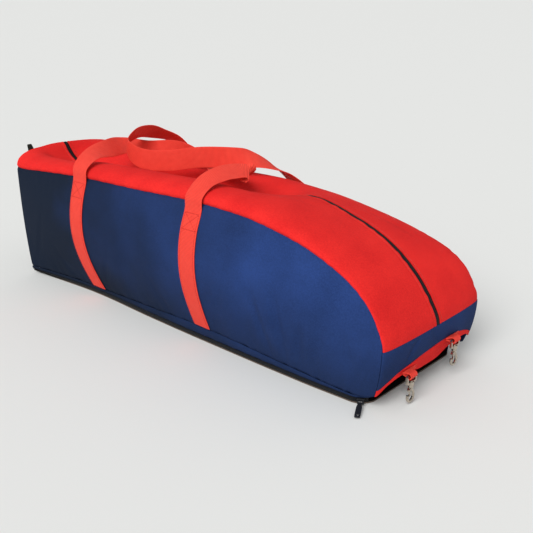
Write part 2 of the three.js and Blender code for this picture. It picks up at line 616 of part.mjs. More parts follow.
// Hook: a headed post, a bent rod, and a lug with the pin its gate turns on.
function hookBody() {
  const profile = [
    new THREE.Vector2(0, POST.low),
    new THREE.Vector2(POST.collar - 1, POST.low),
    new THREE.Vector2(POST.collar, POST.low + 1),
    new THREE.Vector2(POST.collar, BOSS.low - GAP),
    new THREE.Vector2(POST.radius, BOSS.low - GAP),
    new THREE.Vector2(POST.radius, BOSS.top + GAP),
    new THREE.Vector2(POST.head, BOSS.top + GAP),
    new THREE.Vector2(POST.head, POST.headTop - 0.6),
    new THREE.Vector2(0, POST.headTop),
  ];
  const post = new THREE.LatheGeometry(profile, 16);
  post.rotateX(Math.PI / 2);
  const bend = spaced(0, -Math.PI, 8).map(
    (angle) => new THREE.Vector3(0, BEND.radius * Math.cos(angle), BEND.z + BEND.radius * Math.sin(angle)),
  );
  const path = new THREE.CatmullRomCurve3([
    new THREE.Vector3(0, 0, POST.low + 1.7),
    new THREE.Vector3(0, 3.2, -25),
    new THREE.Vector3(0, 6.9, -30.4),
    ...bend,
    new THREE.Vector3(0, -BEND.radius, BEND.tipZ),
  ]);
  const section = new THREE.Shape().absarc(0, 0, WIRE, 0, 2 * Math.PI);
  const bent = new THREE.ExtrudeGeometry(section, { steps: 18, curveSegments: 5, extrudePath: path });
  const lugShape = new THREE.Shape();
  const lean = Math.atan2(POST.low + 0.6 - GATE.z, 0.6 - GATE.y);
  lugShape.absarc(GATE.y, GATE.z, GATE.ring, lean + Math.PI / 2, lean - Math.PI / 2);
  lugShape.absarc(0.6, POST.low + 0.6, WIRE, lean - Math.PI / 2, lean + Math.PI / 2);
  const lug = plate(lugShape, -WIRE, -GATE.lap);
  const pin = rod(GATE.pin, "x", -WIRE, WIRE);
  pin.translate(0, GATE.y, GATE.z);
  return fromSolid(solid(post).add(solid(bent)).add(solid(lug)).add(solid(pin)));
}

// Gate: a flat latch from the pin down to the inside of the hook's tip.
function hookGate() {
  const { y, z, ring, bore, half, low, lean } = GATE;
  const shape = new THREE.Shape();
  const shoulderAngle = Math.asin(half / ring);
  shape.absarc(y, z, ring, -Math.PI / 2 + shoulderAngle, 1.5 * Math.PI - shoulderAngle);
  shape.lineTo(y - half - lean, low + half);
  shape.absarc(y - lean, low + half, half, Math.PI, 2 * Math.PI);
  shape.holes.push(new THREE.Path().absarc(y, z, bore, 0, 2 * Math.PI));
  return plate(shape, GATE.lap, WIRE);
}

for (const spot of HOOK_PLACES) {
  place(`hook_tab_${spot.side}`, hookTab(spot), WEB_RED);
  const hook = new THREE.Group();
  hook.position.set(spot.x, spot.y, spot.z);
  bag.add(hook);
  place(`hook_eye_${spot.side}`, hookEye(), NICKEL, hook);
  place(`hook_body_${spot.side}`, hookBody(), NICKEL, hook);
  place(`hook_gate_${spot.side}`, hookGate(), NICKEL, hook);
}

// Zip sliders and their pulls: the slider lies against the zipper, facing local -Y; the pull hangs on a pin.
function zipSlider() {
  const { length, height, depth, earOut, earThick, earIn, pin, pinOut } = SLIDER;
  const block = new THREE.BoxGeometry(length, depth, height);
  block.translate(0, depth / 2, 0);
  let body = solid(block);
  for (const sign of [-1, 1]) {
    const ear = new THREE.BoxGeometry(earThick, earOut + 1, height * 0.6);
    ear.translate(sign * (earIn + earThick / 2), (1 - earOut) / 2, 0);
    body = body.add(solid(ear));
  }
  const across = rod(pin, "x", -earIn - 0.5, earIn + 0.5);
  across.translate(0, -pinOut, 0);
  return fromSolid(body.add(solid(across)));
}

function zipPull() {
  const { length, width, thick, knuckle, bore, half, hole, holeBack } = PULL;
  const outline = new THREE.Shape();
  outline.moveTo(-half, 0);
  outline.lineTo(half, 0);
  outline.lineTo(half, 6);
  outline.lineTo(width / 2, 14);
  outline.lineTo(width / 2, length - 3);
  outline.quadraticCurveTo(width / 2, length, width / 2 - 3, length);
  outline.lineTo(3 - width / 2, length);
  outline.quadraticCurveTo(-width / 2, length, -width / 2, length - 3);
  outline.lineTo(-width / 2, 14);
  outline.lineTo(-half, 6);
  outline.lineTo(-half, 0);
  outline.holes.push(new THREE.Path().absarc(0, length - holeBack, hole, 0, 2 * Math.PI));
  const flat = new THREE.ExtrudeGeometry(outline, { depth: thick, bevelEnabled: false, curveSegments: 6 });
  flat.translate(0, 0, -thick / 2);
  flat.rotateX(Math.PI);
  const barrel = solid(rod(knuckle, "x", -half, half));
  const through = solid(rod(bore, "x", -half - 1, half + 1));
  return fromSolid(solid(flat).add(barrel).subtract(through));
}

// Pull on its pin, turned down about it from straight out.
function hungPull(droop) {
  const geometry = zipPull();
  geometry.rotateX(droop);
  geometry.translate(0, -SLIDER.pinOut, 0);
  return geometry;
}

// Sleeve zipper: closed to the mouth end, its pull lying out over the floor.
const sleevePull = new THREE.Group();
sleevePull.position.set(SLEEVE_PULL.x, SLEEVE_PULL.y, SLEEVE_PULL.z);
sleevePull.rotation.set(0, 0, SLEEVE_PULL.turn);
bag.add(sleevePull);
place("sleeve_zip_slider", zipSlider(), PULL_BLACK, sleevePull);
place("sleeve_zip_pull", hungPull(SLEEVE_PULL.droop), PULL_BLACK, sleevePull);

// Main zipper: closed, with its pull lying along the zipper in the sag under the handles.
const mainPull = new THREE.Group();
const basis = [new THREE.Vector3(0, 1, 0), new THREE.Vector3(0, 0, -1), new THREE.Vector3(-1, 0, 0)];
mainPull.applyMatrix4(new THREE.Matrix4().makeBasis(...basis));
const mainStation = stationAt(MAIN_PULL.x);
mainPull.position.copy(topPoint(mainStation, zipPlace(mainStation, 0)));
mainPull.position.z += MAIN_PULL.lift;
bag.add(mainPull);
place("main_zip_slider", zipSlider(), PULL_BLACK, mainPull);
place("main_zip_pull", hungPull(MAIN_PULL.droop), PULL_BLACK, mainPull);

export default bag;
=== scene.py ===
# Baseball equipment bag: its looks, in metres, in the part's own frame (+X to the mouth end, +Y back, +Z up).
import math

import bpy
import numpy as np
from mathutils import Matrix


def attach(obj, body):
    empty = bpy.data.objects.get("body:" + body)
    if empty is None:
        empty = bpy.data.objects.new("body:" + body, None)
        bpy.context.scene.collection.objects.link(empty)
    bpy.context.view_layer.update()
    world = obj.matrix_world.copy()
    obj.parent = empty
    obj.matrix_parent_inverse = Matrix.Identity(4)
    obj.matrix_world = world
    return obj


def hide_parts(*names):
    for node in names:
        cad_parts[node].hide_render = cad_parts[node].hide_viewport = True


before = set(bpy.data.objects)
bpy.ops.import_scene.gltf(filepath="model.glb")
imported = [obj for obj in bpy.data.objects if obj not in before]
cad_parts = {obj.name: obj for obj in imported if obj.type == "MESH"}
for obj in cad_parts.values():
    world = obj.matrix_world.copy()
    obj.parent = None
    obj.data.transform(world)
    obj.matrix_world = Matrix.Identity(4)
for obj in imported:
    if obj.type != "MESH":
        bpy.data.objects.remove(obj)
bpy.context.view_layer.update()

# Side panels. Navy polyester duck cut to the arch of the bag's side, sewn under the red top along that arch.
# The filling pushes them out; the front one tucks in at its lower edge and folds softly where it is slack.
MM = 0.001  # sizes are in millimetres, and meshes in metres
HALF_WIDTH = 140.0
LOW_BACK_Y = 134.0
MIDDLE_X = 2.0
HALF_LENGTH = 459.0
FRONT_BELLY = 27.0
BACK_BELLY = 24.0
END_X = 461.0
END_LOW_Z = 24.0
END_UNDERCUT = 14.0
BAND_TOP_Z = 104.0
FAN_X = 300.0  # from here on the panel's cross lines fan out to the right end
GAP = 0.4  # left between sewn pieces
CLOTH = 1.8
LEG_CLEARANCE = 30.0
NAVY_CLOTH = "#28427D"
NAVY_SHADE = "#1F3566"
# Darker navy mixed into the cloth: a darker tone towards the left end, and painted shade low down by the
# floor.
NAVY_TONE_AND_SHADE = "#131E30"
# Seam between side and top, from left to right: its x and z, rise of the top over it, sag at the zipper, how
# much lower the back seam lies, y of the back seam, y of the zipper.
SEAM_COLUMNS = ("x", "z", "crown", "valley", "lean", "back", "zip")
SEAM_ROWS = np.array([
    [-457, 237, 42, 0, 16, 138, -18], [-430, 236, 40, 24, 17, 137, -17], [-395, 239, 35, 40, 18, 135, -15],
    [-330, 244, 32, 42, 18, 132, -10], [-238, 250, 34, 40, 19, 130, -6], [-80, 254, 39, 40, 32, 128, 0],
    [60, 259, 36, 34, 33, 128, 2], [130, 258, 35, 30, 35, 128, 4], [205, 253, 34, 2, 37, 128, 9],
    [300, 235, 26, 0, 30, 130, 7], [360, 214, 19, 0, 21, 133, 4], [405, 190, 13, 0, 12, 136, -3],
    [437, 160, 9, 0, 6, 139, -4], [458, 120, 9, 0, 2, 140, 0], [461, 104, 9, 0, 0, 140, 2],
    [461, 60, 9, 0, 0, 140, 2]], float)
# Lower edge: x, draw-in of the front panel, heights of the low seam, of the sleeve zipper's top and of
# the base.
LOW_ROWS = np.array([
    [-457, 12, 16, 9, 5], [-340, 24, 16, 8, 0], [-238, 26, 17, 9, 0], [-80, 16, 23, 10, 0],
    [79, 9, 28, 10, 0], [300, 3, 20, 10, 0], [400, 4, 15, 10, 0], [428, 5, 16, 10, 0],
    [447, 5.5, 24, 10, 0], [461, 6, 31, 10, 0]], float)
LEG_X = (-235.0, 79.0)
# Soft folds of the front panel: x, z, depth, half width, half length, lean of its line.
FRONT_FOLDS = np.array([
    [-90, 110, 4, 32, 70, 0.2], [205, 105, 5, 26, 60, 0.25], [300, 95, 5, 28, 55, -0.2]], float)
# Small creases in the cloth, same columns.
FRONT_CREASES = np.array([
    [-400, 90, 1.6, 9, 60, 0.5], [-330, 60, 1.4, 8, 34, -0.5], [-180, 70, 1.8, 8, 40, 0.6],
    [-20, 60, 1.6, 9, 42, -0.4], [130, 80, 2.0, 9, 52, 0.5], [165, 170, 1.4, 10, 44, -0.3],
    [232, 85, 5.0, 9, 50, -0.25], [272, 95, 6.0, 10, 52, -0.1], [310, 70, 4.0, 9, 36, 0.2],
    [345, 75, 2.6, 9, 40, 0.4], [400, 90, 1.8, 9, 44, -0.35], [430, 70, 1.6, 7, 30, 0.5]], float)


def curve_through(knots, rows, at):
    """Cubic through the rows of a table; the slope at a row is that of the chord between its neighbours."""
    slopes = np.empty_like(rows)
    slopes[1:-1] = (rows[2:] - rows[:-2]) / (knots[2:] - knots[:-2])[:, None]
    slopes[0] = (rows[1] - rows[0]) / (knots[1] - knots[0])
    slopes[-1] = (rows[-1] - rows[-2]) / (knots[-1] - knots[-2])
    at = np.asarray(at, float)
    i = np.clip(np.searchsorted(knots, at, side="right") - 1, 0, len(knots) - 2)
    span = (knots[i + 1] - knots[i])[..., None]
    u = (at - knots[i])[..., None] / span
    held = (1 + 2 * u) * (1 - u) ** 2 * rows[i] + u * u * (3 - 2 * u) * rows[i + 1]
    turned = u * (1 - u) ** 2 * slopes[i] - u * u * (1 - u) * slopes[i + 1]
    return held + span * turned


def lengths_along(points):
    """Running length along the first axis of a row or grid of points."""
    steps = np.linalg.norm(np.diff(points, axis=0), axis=-1)
    return np.concatenate([np.zeros((1, *steps.shape[1:])), np.cumsum(steps, axis=0)])


seam_knots = lengths_along(SEAM_ROWS[:, :2])
seam_end = seam_knots[-2]


def seam_section(s):
    """Columns of the seam table at lengths s, with the seam line's normal in the X-Z plane."""
    row = dict(zip(SEAM_COLUMNS, np.moveaxis(curve_through(seam_knots, SEAM_ROWS, s), -1, 0)))
    ahead = curve_through(seam_knots, SEAM_ROWS[:, :2], np.minimum(s + 0.5, seam_knots[-1]))
    behind = curve_through(seam_knots, SEAM_ROWS[:, :2], np.maximum(s - 0.5, 0))
    step = ahead - behind
    step /= np.linalg.norm(step, axis=-1, keepdims=True)
    row["nx"], row["nz"] = -step[..., 1], step[..., 0]
    return row


fine_stations = np.linspace(0, seam_end, 4000)
fine_seam_x = curve_through(seam_knots, SEAM_ROWS[:, :1], fine_stations)[:, 0]


def station_at(x):
    """Length along the seam line at which it reaches x."""
    return np.interp(x, fine_seam_x, fine_stations)


fan_start = station_at(FAN_X)


def end_x(z):
    """Right end's edge: it draws in by a square law from the band's top down to the low seam."""
    return END_X - END_UNDERCUT * ((BAND_TOP_Z - z) / (BAND_TOP_Z - END_LOW_Z)) ** 2


def low_edge(x):
    """Draw-in and heights of the bag's lower edge at x, one array for each column of the table."""
    return np.moveaxis(curve_through(LOW_ROWS[:, 0], LOW_ROWS[:, 1:], x), -1, 0)


def fold_depth(folds, x, z):
    """Sum of soft dents, each a bell across its leaning line and a longer bell along it."""
    cx, cz, depth, width, reach, lean = (folds[:, k] for k in range(6))
    x, z = x[..., None], z[..., None]
    across = (x - cx - lean * (z - cz)) / width
    return (depth * np.exp(-across**2 - ((z - cz) / reach) ** 2)).sum(-1)


def side_point(s, r, side):
    """Side panel: r runs from the top seam (0) to the low seam (1).

    A sine of r gives its belly and r squared its tuck; belly and folds fade by a power towards the ends."""
    row = seam_section(s)
    seam_z = row["z"] - (row["lean"] if side == "back" else 0) - row["nz"] * GAP / 2
    fan = np.clip((s - fan_start) / (seam_end - fan_start), 0, None)
    low_x = np.where(s > fan_start, FAN_X + fan * (end_x(END_LOW_Z) - FAN_X), row["x"])
    z = seam_z + r * (low_edge(low_x)[1] - seam_z)
    x = row["x"] + (low_x - row["x"]) * r * r - row["nx"] * GAP / 2
    full = np.clip(1 - np.abs((row["x"] - MIDDLE_X) / HALF_LENGTH) ** 3.5, 0, None)
    rise = np.sin(np.pi * np.clip(r, 0, None) ** 0.9) * full
    if side == "back":
        y = row["back"] + (LOW_BACK_Y - row["back"]) * r * r + BACK_BELLY * rise
    else:
        tuck = low_edge(row["x"])[0] * r * r
        y = fold_depth(FRONT_FOLDS, row["x"], z) * full - (HALF_WIDTH + FRONT_BELLY * rise - tuck)
    return np.stack([x, y, z], -1)


def pucker(along, away, height, reach):
    """Ripple that stitches draw into cloth: waves about 25 and 38 mm long, mixed, dying away from the row."""
    wave = np.sin(along / 3.9 + 1.3 * np.sin(along / 10.3)) + 0.6 * np.sin(along / 6.1 + 2)
    return height * np.exp(-away / reach) * wave / 1.6


def bell(away, width):
    """Bell curve of the distance from a line: 1 on it, and about a third at its half width."""
    return np.exp(-((away / width) ** 2))


def face_normals(face):
    """Unit normals of a grid of points, from its differences along both ways."""
    normal = np.cross(np.gradient(face, axis=0), np.gradient(face, axis=1))
    return normal / np.maximum(np.linalg.norm(normal, axis=-1, keepdims=True), 1e-9)


def mesh_object(name, points, faces, uv=None):
    """Object at the origin from points in millimetres and faces; edges sharper than 50 degrees stay crisp."""
    mesh = bpy.data.meshes.new(name)
    faces = faces if isinstance(faces, list) else faces.tolist()
    mesh.from_pydata((np.asarray(points) * MM).tolist(), [], faces)
    mesh.update()
    mesh.polygons.foreach_set("use_smooth", np.ones(len(mesh.polygons), bool))
    mesh.set_sharp_from_angle(angle=math.radians(50))
    if uv is not None:
        corner = np.empty(len(mesh.loops), int)
        mesh.loops.foreach_get("vertex_index", corner)
        layer = mesh.uv_layers.new(name="cloth")
        layer.data.foreach_set("uv", (uv * MM)[corner].astype(np.float32).ravel())
    made = bpy.data.objects.new(name, mesh)
    bpy.context.scene.collection.objects.link(made)
    return made


def grid_quads(ids):
    """Quads between neighbours of a grid of point numbers."""
    return np.stack([ids[:-1, :-1], ids[1:, :-1], ids[1:, 1:], ids[:-1, 1:]], -1).reshape(-1, 4)


def cloth_wall(name, face, thickness, inward=None):
    """Closed wall: the outer grid, the same grid set in along its normals or a given way, and four rims.

    Its UV map holds the lengths along the grid, so that a weave follows the cloth."""
    through = -face_normals(face) if inward is None else np.broadcast_to(inward, face.shape)
    count = face.shape[0] * face.shape[1]
    ids = np.arange(count).reshape(face.shape[:2])
    parts = [grid_quads(ids), grid_quads(ids)[:, ::-1] + count]
    for edge, turn in ((ids[:, 0], True), (ids[:, -1], False), (ids[0], False), (ids[-1], True)):
        strip = np.stack([edge[:-1], edge[1:], edge[1:] + count, edge[:-1] + count], -1)
        parts.append(strip[:, ::-1] if turn else strip)
    points = np.concatenate([face.reshape(-1, 3), (face + thickness * through).reshape(-1, 3)])
    uv = np.stack([lengths_along(face), lengths_along(face.swapaxes(0, 1)).T], -1).reshape(-1, 2)
    return mesh_object(name, points, np.concatenate(parts), np.concatenate([uv, uv]))


def linear(code):
    """Linear colour with alpha from an sRGB hex code."""
    value = np.array([int(code[i:i + 2], 16) for i in (1, 3, 5)]) / 255
    value = np.where(value <= 0.04045, value / 12.92, ((value + 0.055) / 1.055) ** 2.4)
    return (*value.tolist(), 1.0)


def add(tree, kind, inputs=None, **settings):
    """Adds a node with its settings; an input is a value, or the output that it is linked to."""
    made = tree.nodes.new(kind)
    for key, value in settings.items():
        setattr(made, key, value)
    for key, value in (inputs or {}).items():
        if isinstance(value, bpy.types.NodeSocket):
            tree.links.new(value, made.inputs[key])
        else:
            made.inputs[key].default_value = value
    return made


def new_material(name, surface):
    """Empty material whose shader has the given constant values; returns it with its tree and shader."""
    material = bpy.data.materials.new(name)
    material.use_nodes = True
    shader = material.node_tree.nodes["Principled BSDF"]
    for key, value in surface.items():
        shader.inputs[key].default_value = value
    return material, material.node_tree, shader


def pattern_scale(size_mm):
    """Scale of a noise whose patches are about this many millimetres across."""
    return 1 / (size_mm * MM)


def duck_cloth(name, colour, shade, thread_mm=1.3, tone_and_shade=None):
    """Woven polyester duck: matt, with a fine even grain of crossing threads.

    Threads are sines along both ways of the cloth; real ones lie closer and are drawn 1.3 mm so that they
    show. Broad noise gives the slight unevenness of the dye. A second, darker colour can be mixed in: more of
    it towards the bag's left end, and more of it low down as painted shade that darkens the cloth to the
    floor."""
    material, tree, shader = new_material(name, {"Roughness": 0.85, "Specular IOR Level": 0.12})
    place = add(tree, "ShaderNodeTexCoord")
    turn = 2 * math.pi / (thread_mm * MM)
    scaled = add(tree, "ShaderNodeVectorMath", {0: place.outputs["UV"], 1: (turn, turn, turn)},
                 operation="MULTIPLY")
    split = add(tree, "ShaderNodeSeparateXYZ", {0: scaled.outputs[0]})
    warp = add(tree, "ShaderNodeMath", {0: split.outputs["X"]}, operation="SINE")
    weft = add(tree, "ShaderNodeMath", {0: split.outputs["Y"]}, operation="SINE")
    weave = add(tree, "ShaderNodeMath", {0: warp.outputs[0], 1: weft.outputs[0]}, operation="MULTIPLY")
    broad = add(tree, "ShaderNodeTexNoise", {
        "Vector": place.outputs["Object"], "Scale": pattern_scale(62.5), "Detail": 4.0})
    slub = add(tree, "ShaderNodeTexNoise", {
        "Vector": place.outputs["Object"], "Scale": pattern_scale(2.381), "Detail": 2.0})
    dye = add(tree, "ShaderNodeMath", {0: broad.outputs[0], 1: slub.outputs[0]}, operation="ADD")
    share = add(tree, "ShaderNodeMapRange", {"Value": dye.outputs[0], "From Min": 0.7, "From Max": 1.3})
    tint = add(tree, "ShaderNodeMix", {"Factor": share.outputs[0], "A": linear(shade), "B": linear(colour)},
               data_type="RGBA")
    # Darker colour mixed in: a darker tone towards the left end, and painted shade towards the floor.
    if tone_and_shade:
        where = add(tree, "ShaderNodeSeparateXYZ", {0: place.outputs["Object"]})
        blur = add(tree, "ShaderNodeTexNoise", {
            "Vector": place.outputs["Object"], "Scale": pattern_scale(142.86), "Detail": 3.0})
        drift = add(tree, "ShaderNodeMath", {0: blur.outputs[0], 1: 0.55, 2: where.outputs["X"]},
                    operation="MULTIPLY_ADD")
        toward_right = add(tree, "ShaderNodeMapRange", {
            "Value": drift.outputs[0], "From Min": -0.04, "From Max": 0.56})
        # Painted shade: the lower cloth darkens towards the floor, where it faces down under the bulge.
        unshaded = add(tree, "ShaderNodeMapRange", {
            "Value": where.outputs["Z"], "From Max": 0.17, "To Min": 0.3})
        kept = add(tree, "ShaderNodeMath", {0: toward_right.outputs[0], 1: unshaded.outputs[0]}, operation="MULTIPLY")
        tint = add(tree, "ShaderNodeMix", {
            "Factor": kept.outputs[0], "A": linear(tone_and_shade), "B": tint.outputs["Result"]}, data_type="RGBA")
    lit = add(tree, "ShaderNodeMapRange", {
        "Value": weave.outputs[0], "From Min": -1.0, "To Min": 0.9, "To Max": 1.06})
    cloth = add(tree, "ShaderNodeVectorMath", {0: tint.outputs["Result"], "Scale": lit.outputs[0]},
                operation="SCALE")
    relief = add(tree, "ShaderNodeMath", {0: weave.outputs[0], 1: slub.outputs[0]}, operation="ADD")
    bump = add(tree, "ShaderNodeBump", {"Height": relief.outputs[0], "Strength": 0.35, "Distance": 0.4 * MM})
    tree.links.new(cloth.outputs[0], shader.inputs["Base Color"])
    tree.links.new(bump.outputs[0], shader.inputs["Normal"])
    return material


def sew_in(piece, material, slot_name, body, *nodes):
    """Gives a piece its material, lets it ride on its body, hides the solids it stands for; slot_name is not
    used.
    """
    piece.data.materials.append(material)
    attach(piece, body)
    if nodes:
        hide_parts(*nodes)


navy_duck = duck_cloth("navy_polyester_duck", NAVY_CLOTH, NAVY_SHADE, tone_and_shade=NAVY_TONE_AND_SHADE)
panel_stations = np.concatenate([np.linspace(0, fan_start, 230), np.linspace(fan_start, seam_end, 70)[1:]])
panel_drops = (1 - np.cos(np.pi * np.linspace(0, 1, 76))) / 2


def leg_clear(x):
    """0 under the sewn handle legs and 1 away from them."""
    return 1 - sum(np.exp(-((x - leg) / LEG_CLEARANCE) ** 4) for leg in LEG_X)


def dressed_side(side):
    """Side panel with its creases, the ripple along both seams and the dip of each seam."""
    s, r = np.meshgrid(panel_stations, panel_drops, indexing="ij")
    face = side_point(s, r, side)
    height = face[:, :1, 2] - face[:, -1:, 2]
    from_top, from_low = r * height, (1 - r) * height
    out = pucker(s, from_top, height=0.7, reach=14) + pucker(s * 0.8 + 50, from_low, height=1.0, reach=20)
    out -= fold_depth(FRONT_CREASES, face[..., 0], face[..., 2]) * (1 if side == "front" else 0.6)
    out *= leg_clear(face[..., 0])
    out -= 2.2 * bell(from_top, 2.6) + 1.6 * bell(from_low, 2.4)
    face[..., 1] += out if side == "back" else -out
    return face


front_panel = cloth_wall("front_panel_cloth", dressed_side("front")[:, ::-1], CLOTH, (0, 1, 0))
sew_in(front_panel, navy_duck, "navy_cloth", "bag", "front_panel")
back_panel = cloth_wall("back_panel_cloth", dressed_side("back"), CLOTH, (0, -1, 0))
sew_in(back_panel, navy_duck, "navy_cloth", "bag", "back_panel")

# Base. A flat panel of dull coated cloth, low navy walls sewn to its edge, and a black coil zipper set into
# the front wall along the floor; it opens the long sleeve under the bag.
LEFT_X = -457.0
BASE_PLATE = 2.4
DRAW_IN = 3.0
BASE_RIGHT_X = 431.0
BASE_CORNER = 28.0
FULL_WALL = 17.0  # height from which on a low wall swells fully
BASE_CLOTH = "#6A5D55"
BASE_SHADE = "#51473F"
# Near black painted shade for the inside of the bag.
BASE_INSIDE_SHADE = "#15130F"
ZIP_BLACK = "#090A0D"
ZIP_SHEEN = "#191B21"


def low_front_y(x):
    """Front lower edge of the bag in plan."""
    return low_edge(x)[0] - HALF_WIDTH


def corner_in(x):
    """How far the base's rounded right corners draw in at x."""
    past = np.clip(x - (BASE_RIGHT_X - BASE_CORNER), 0, None)
    return BASE_CORNER - np.sqrt(BASE_CORNER**2 - past**2)


def along_base(start, count, turn):
    """Places along the base: evenly to its right corner, then round it by a turn in radians."""
    corner_x = BASE_RIGHT_X - BASE_CORNER
    bend = corner_x + BASE_CORNER * np.sin(np.linspace(0, turn, 20)[1:])
    return np.concatenate([np.linspace(start, corner_x, count), bend])


def base_z(x):
    """Height of the base's underside, which turns up at the left end."""
    return np.clip(low_edge(x)[3], 0, None)


def low_strip(high, low, draw_high, draw_low, rises):
    """Low front wall between two heights along the base; it draws in downwards and rounds the corner."""
    x, v = np.meshgrid(wall_xs, rises, indexing="ij")
    y = low_front_y(x) + draw_low + v * (draw_high - draw_low) + corner_in(x)
    return np.stack([x, y, low(x) + v * (high(x) - low(x))], -1)


def seam_low(x):
    """Upper edge of the low walls, just under the low seam."""
    return low_edge(x)[1] - GAP


def zip_top(x):
    """Upper edge of the sleeve's zipper."""
    return low_edge(x)[2]


def zip_low(x):
    """Lower edge of the sleeve's zipper, just over the base."""
    return base_z(x) + BASE_PLATE + GAP


def zipper_tape(name, colour, sheen, pitch_mm=1.7):
    """Black coil zipper: a dull woven tape with a row of shiny nylon turns, which catch small glints."""
    material, tree, shader = new_material(name, {"Specular IOR Level": 0.22})
    place = add(tree, "ShaderNodeTexCoord")
    split = add(tree, "ShaderNodeSeparateXYZ", {0: place.outputs["UV"]})
    along = add(tree, "ShaderNodeMath", {0: split.outputs["X"], 1: 2 * math.pi / (pitch_mm * MM)},
                operation="MULTIPLY")
    turns = add(tree, "ShaderNodeMath", {0: along.outputs[0]}, operation="SINE")
    grit = add(tree, "ShaderNodeTexNoise", {
        "Vector": place.outputs["Object"], "Scale": pattern_scale(3.333), "Detail": 3.0})
    tint = add(tree, "ShaderNodeMix", {"Factor": grit.outputs[0], "A": linear(colour), "B": linear(sheen)},
               data_type="RGBA")
    gloss = add(tree, "ShaderNodeMapRange", {
        "Value": turns.outputs[0], "From Min": -1.0, "To Min": 0.65, "To Max": 0.32})
    bump = add(tree, "ShaderNodeBump", {"Height": turns.outputs[0], "Strength": 0.7, "Distance": 0.6 * MM})
    tree.links.new(tint.outputs["Result"], shader.inputs["Base Color"])
    tree.links.new(gloss.outputs[0], shader.inputs["Roughness"])
    tree.links.new(bump.outputs[0], shader.inputs["Normal"])
    return material


def coated_cloth(name, colour, shade, inside, top_z):
    """Coated base cloth: dull and mottled taupe outside, near black painted shade higher up, inside the bag.
    """
    material, tree, shader = new_material(name, {"Roughness": 0.9, "Specular IOR Level": 0.1})
    place = add(tree, "ShaderNodeTexCoord")
    mottle = add(tree, "ShaderNodeTexNoise", {
        "Vector": place.outputs["Object"], "Scale": pattern_scale(16.667), "Detail": 5.0})
    tint = add(tree, "ShaderNodeMix", {"Factor": mottle.outputs[0], "A": linear(shade), "B": linear(colour)},
               data_type="RGBA")
    split = add(tree, "ShaderNodeSeparateXYZ", {0: place.outputs["Object"]})
    # Painted shade: the cloth turns near black above just under the plate's top, for the dark inside of the
    # bag.
    just_under = (top_z - 0.2) * MM
    inside_shade_mask = add(tree, "ShaderNodeMath", {0: split.outputs["Z"], 1: just_under}, operation="GREATER_THAN")
    both = add(tree, "ShaderNodeMix", {
        "Factor": inside_shade_mask.outputs[0], "A": tint.outputs["Result"], "B": linear(inside)}, data_type="RGBA")
    bump = add(tree, "ShaderNodeBump", {"Height": mottle.outputs[0], "Strength": 0.3, "Distance": 0.5 * MM})
    tree.links.new(both.outputs["Result"], shader.inputs["Base Color"])
    tree.links.new(bump.outputs[0], shader.inputs["Normal"])
    return material


zip_tape = zipper_tape("black_coil_zipper", ZIP_BLACK, ZIP_SHEEN)
base_duck = coated_cloth("taupe_coated_base_cloth", BASE_CLOTH, BASE_SHADE, BASE_INSIDE_SHADE, BASE_PLATE)
u, v = np.meshgrid(np.linspace(0, 1, 24), along_base(LEFT_X + 2, 200, turn=1.45), indexing="ij")
base_front = low_front_y(v) + DRAW_IN + corner_in(v)
base_back = LOW_BACK_Y - DRAW_IN - corner_in(v)
bottom_face = np.stack([v, base_front + u * (base_back - base_front), base_z(v)], -1)
bottom = cloth_wall("bottom_panel_cloth", bottom_face, BASE_PLATE)
sew_in(bottom, base_duck, "base_cloth", "bag", "bottom_panel")

wall_xs = along_base(LEFT_X + GAP, 280, turn=1.0)
rises = np.linspace(0, 1, 14)
front_low = low_strip(seam_low, lambda x: zip_top(x) + GAP, 0, DRAW_IN - 1, rises)
swell = 1.6 * np.sin(np.pi * rises) - bell(rises, 0.1) - bell(1 - rises, 0.1)
tall = np.clip((front_low[:, -1:, 2] - front_low[:, :1, 2]) / FULL_WALL, 0, 1)
front_low[..., 1] -= (swell + pucker(front_low[..., 0], 0 * rises, height=0.5, reach=1)) * tall
front_wall = cloth_wall("base_wall_front_cloth", front_low, CLOTH, (0, 1, 0))
sew_in(front_wall, navy_duck, "navy_cloth", "bag", "base_wall_front")
zip_rises = np.linspace(0, 1, 15)
sleeve_face = low_strip(zip_top, zip_low, DRAW_IN - 0.6, DRAW_IN, zip_rises)
sleeve_face[..., 1] -= 1.1 * bell(zip_rises - 0.5, 0.17)
sleeve_zip = cloth_wall("sleeve_zipper_coil", sleeve_face, CLOTH, (0, 1, 0))
sew_in(sleeve_zip, zip_tape, "zipper_tape", "bag", "sleeve_zipper")
x, v = np.meshgrid(wall_xs, rises, indexing="ij")
z = seam_low(x) + v * (zip_low(x) - seam_low(x))
back_low = np.stack([x, LOW_BACK_Y - DRAW_IN * v + swell[None, :] * tall - corner_in(x), z], -1)
back_wall = cloth_wall("base_wall_back_cloth", back_low, CLOTH, (0, -1, 0))
sew_in(back_wall, navy_duck, "navy_cloth", "bag", "base_wall_back")

# Left end. A navy panel set into the rim of the sides and the top, its seam allowance turned inside.
# The filling bows it out a little.
LEFT_BOW = 14.0
LEFT_FLOOR = float(zip_low(LEFT_X))
LEFT_SEAM_Z = float(low_edge(LEFT_X)[1])
LEFT_BASE_Z = float(base_z(LEFT_X))
RIM_INSET = 2.4
SHOULDER = 2.6
VALLEY_REACH = 60.0


def shoulder(t):
    """Rounded rise between two seams: 0 at t = -1 and 1, and 1 in the middle."""
    return np.clip(1 - np.abs(t) ** SHOULDER, 0, None) ** (1 / SHOULDER)


def top_point(s, t):
    """Top of the bag: t from the front seam (-1) to the back seam (1).

    A rounded rise over the line between the seams, less a bell-shaped sag at the zipper."""
    row = seam_section(s)
    y = (row["back"] - HALF_WIDTH + (row["back"] + HALF_WIDTH) * t) / 2
    sag = row["valley"] * bell(y - row["zip"], VALLEY_REACH) * (1 - t**4)
    rise = row["crown"] * shoulder(t) - sag + GAP / 2
    between_seams = row["z"] - row["lean"] * (1 + t) / 2
    return np.stack([row["x"] + row["nx"] * rise, y, between_seams + row["nz"] * rise], -1)


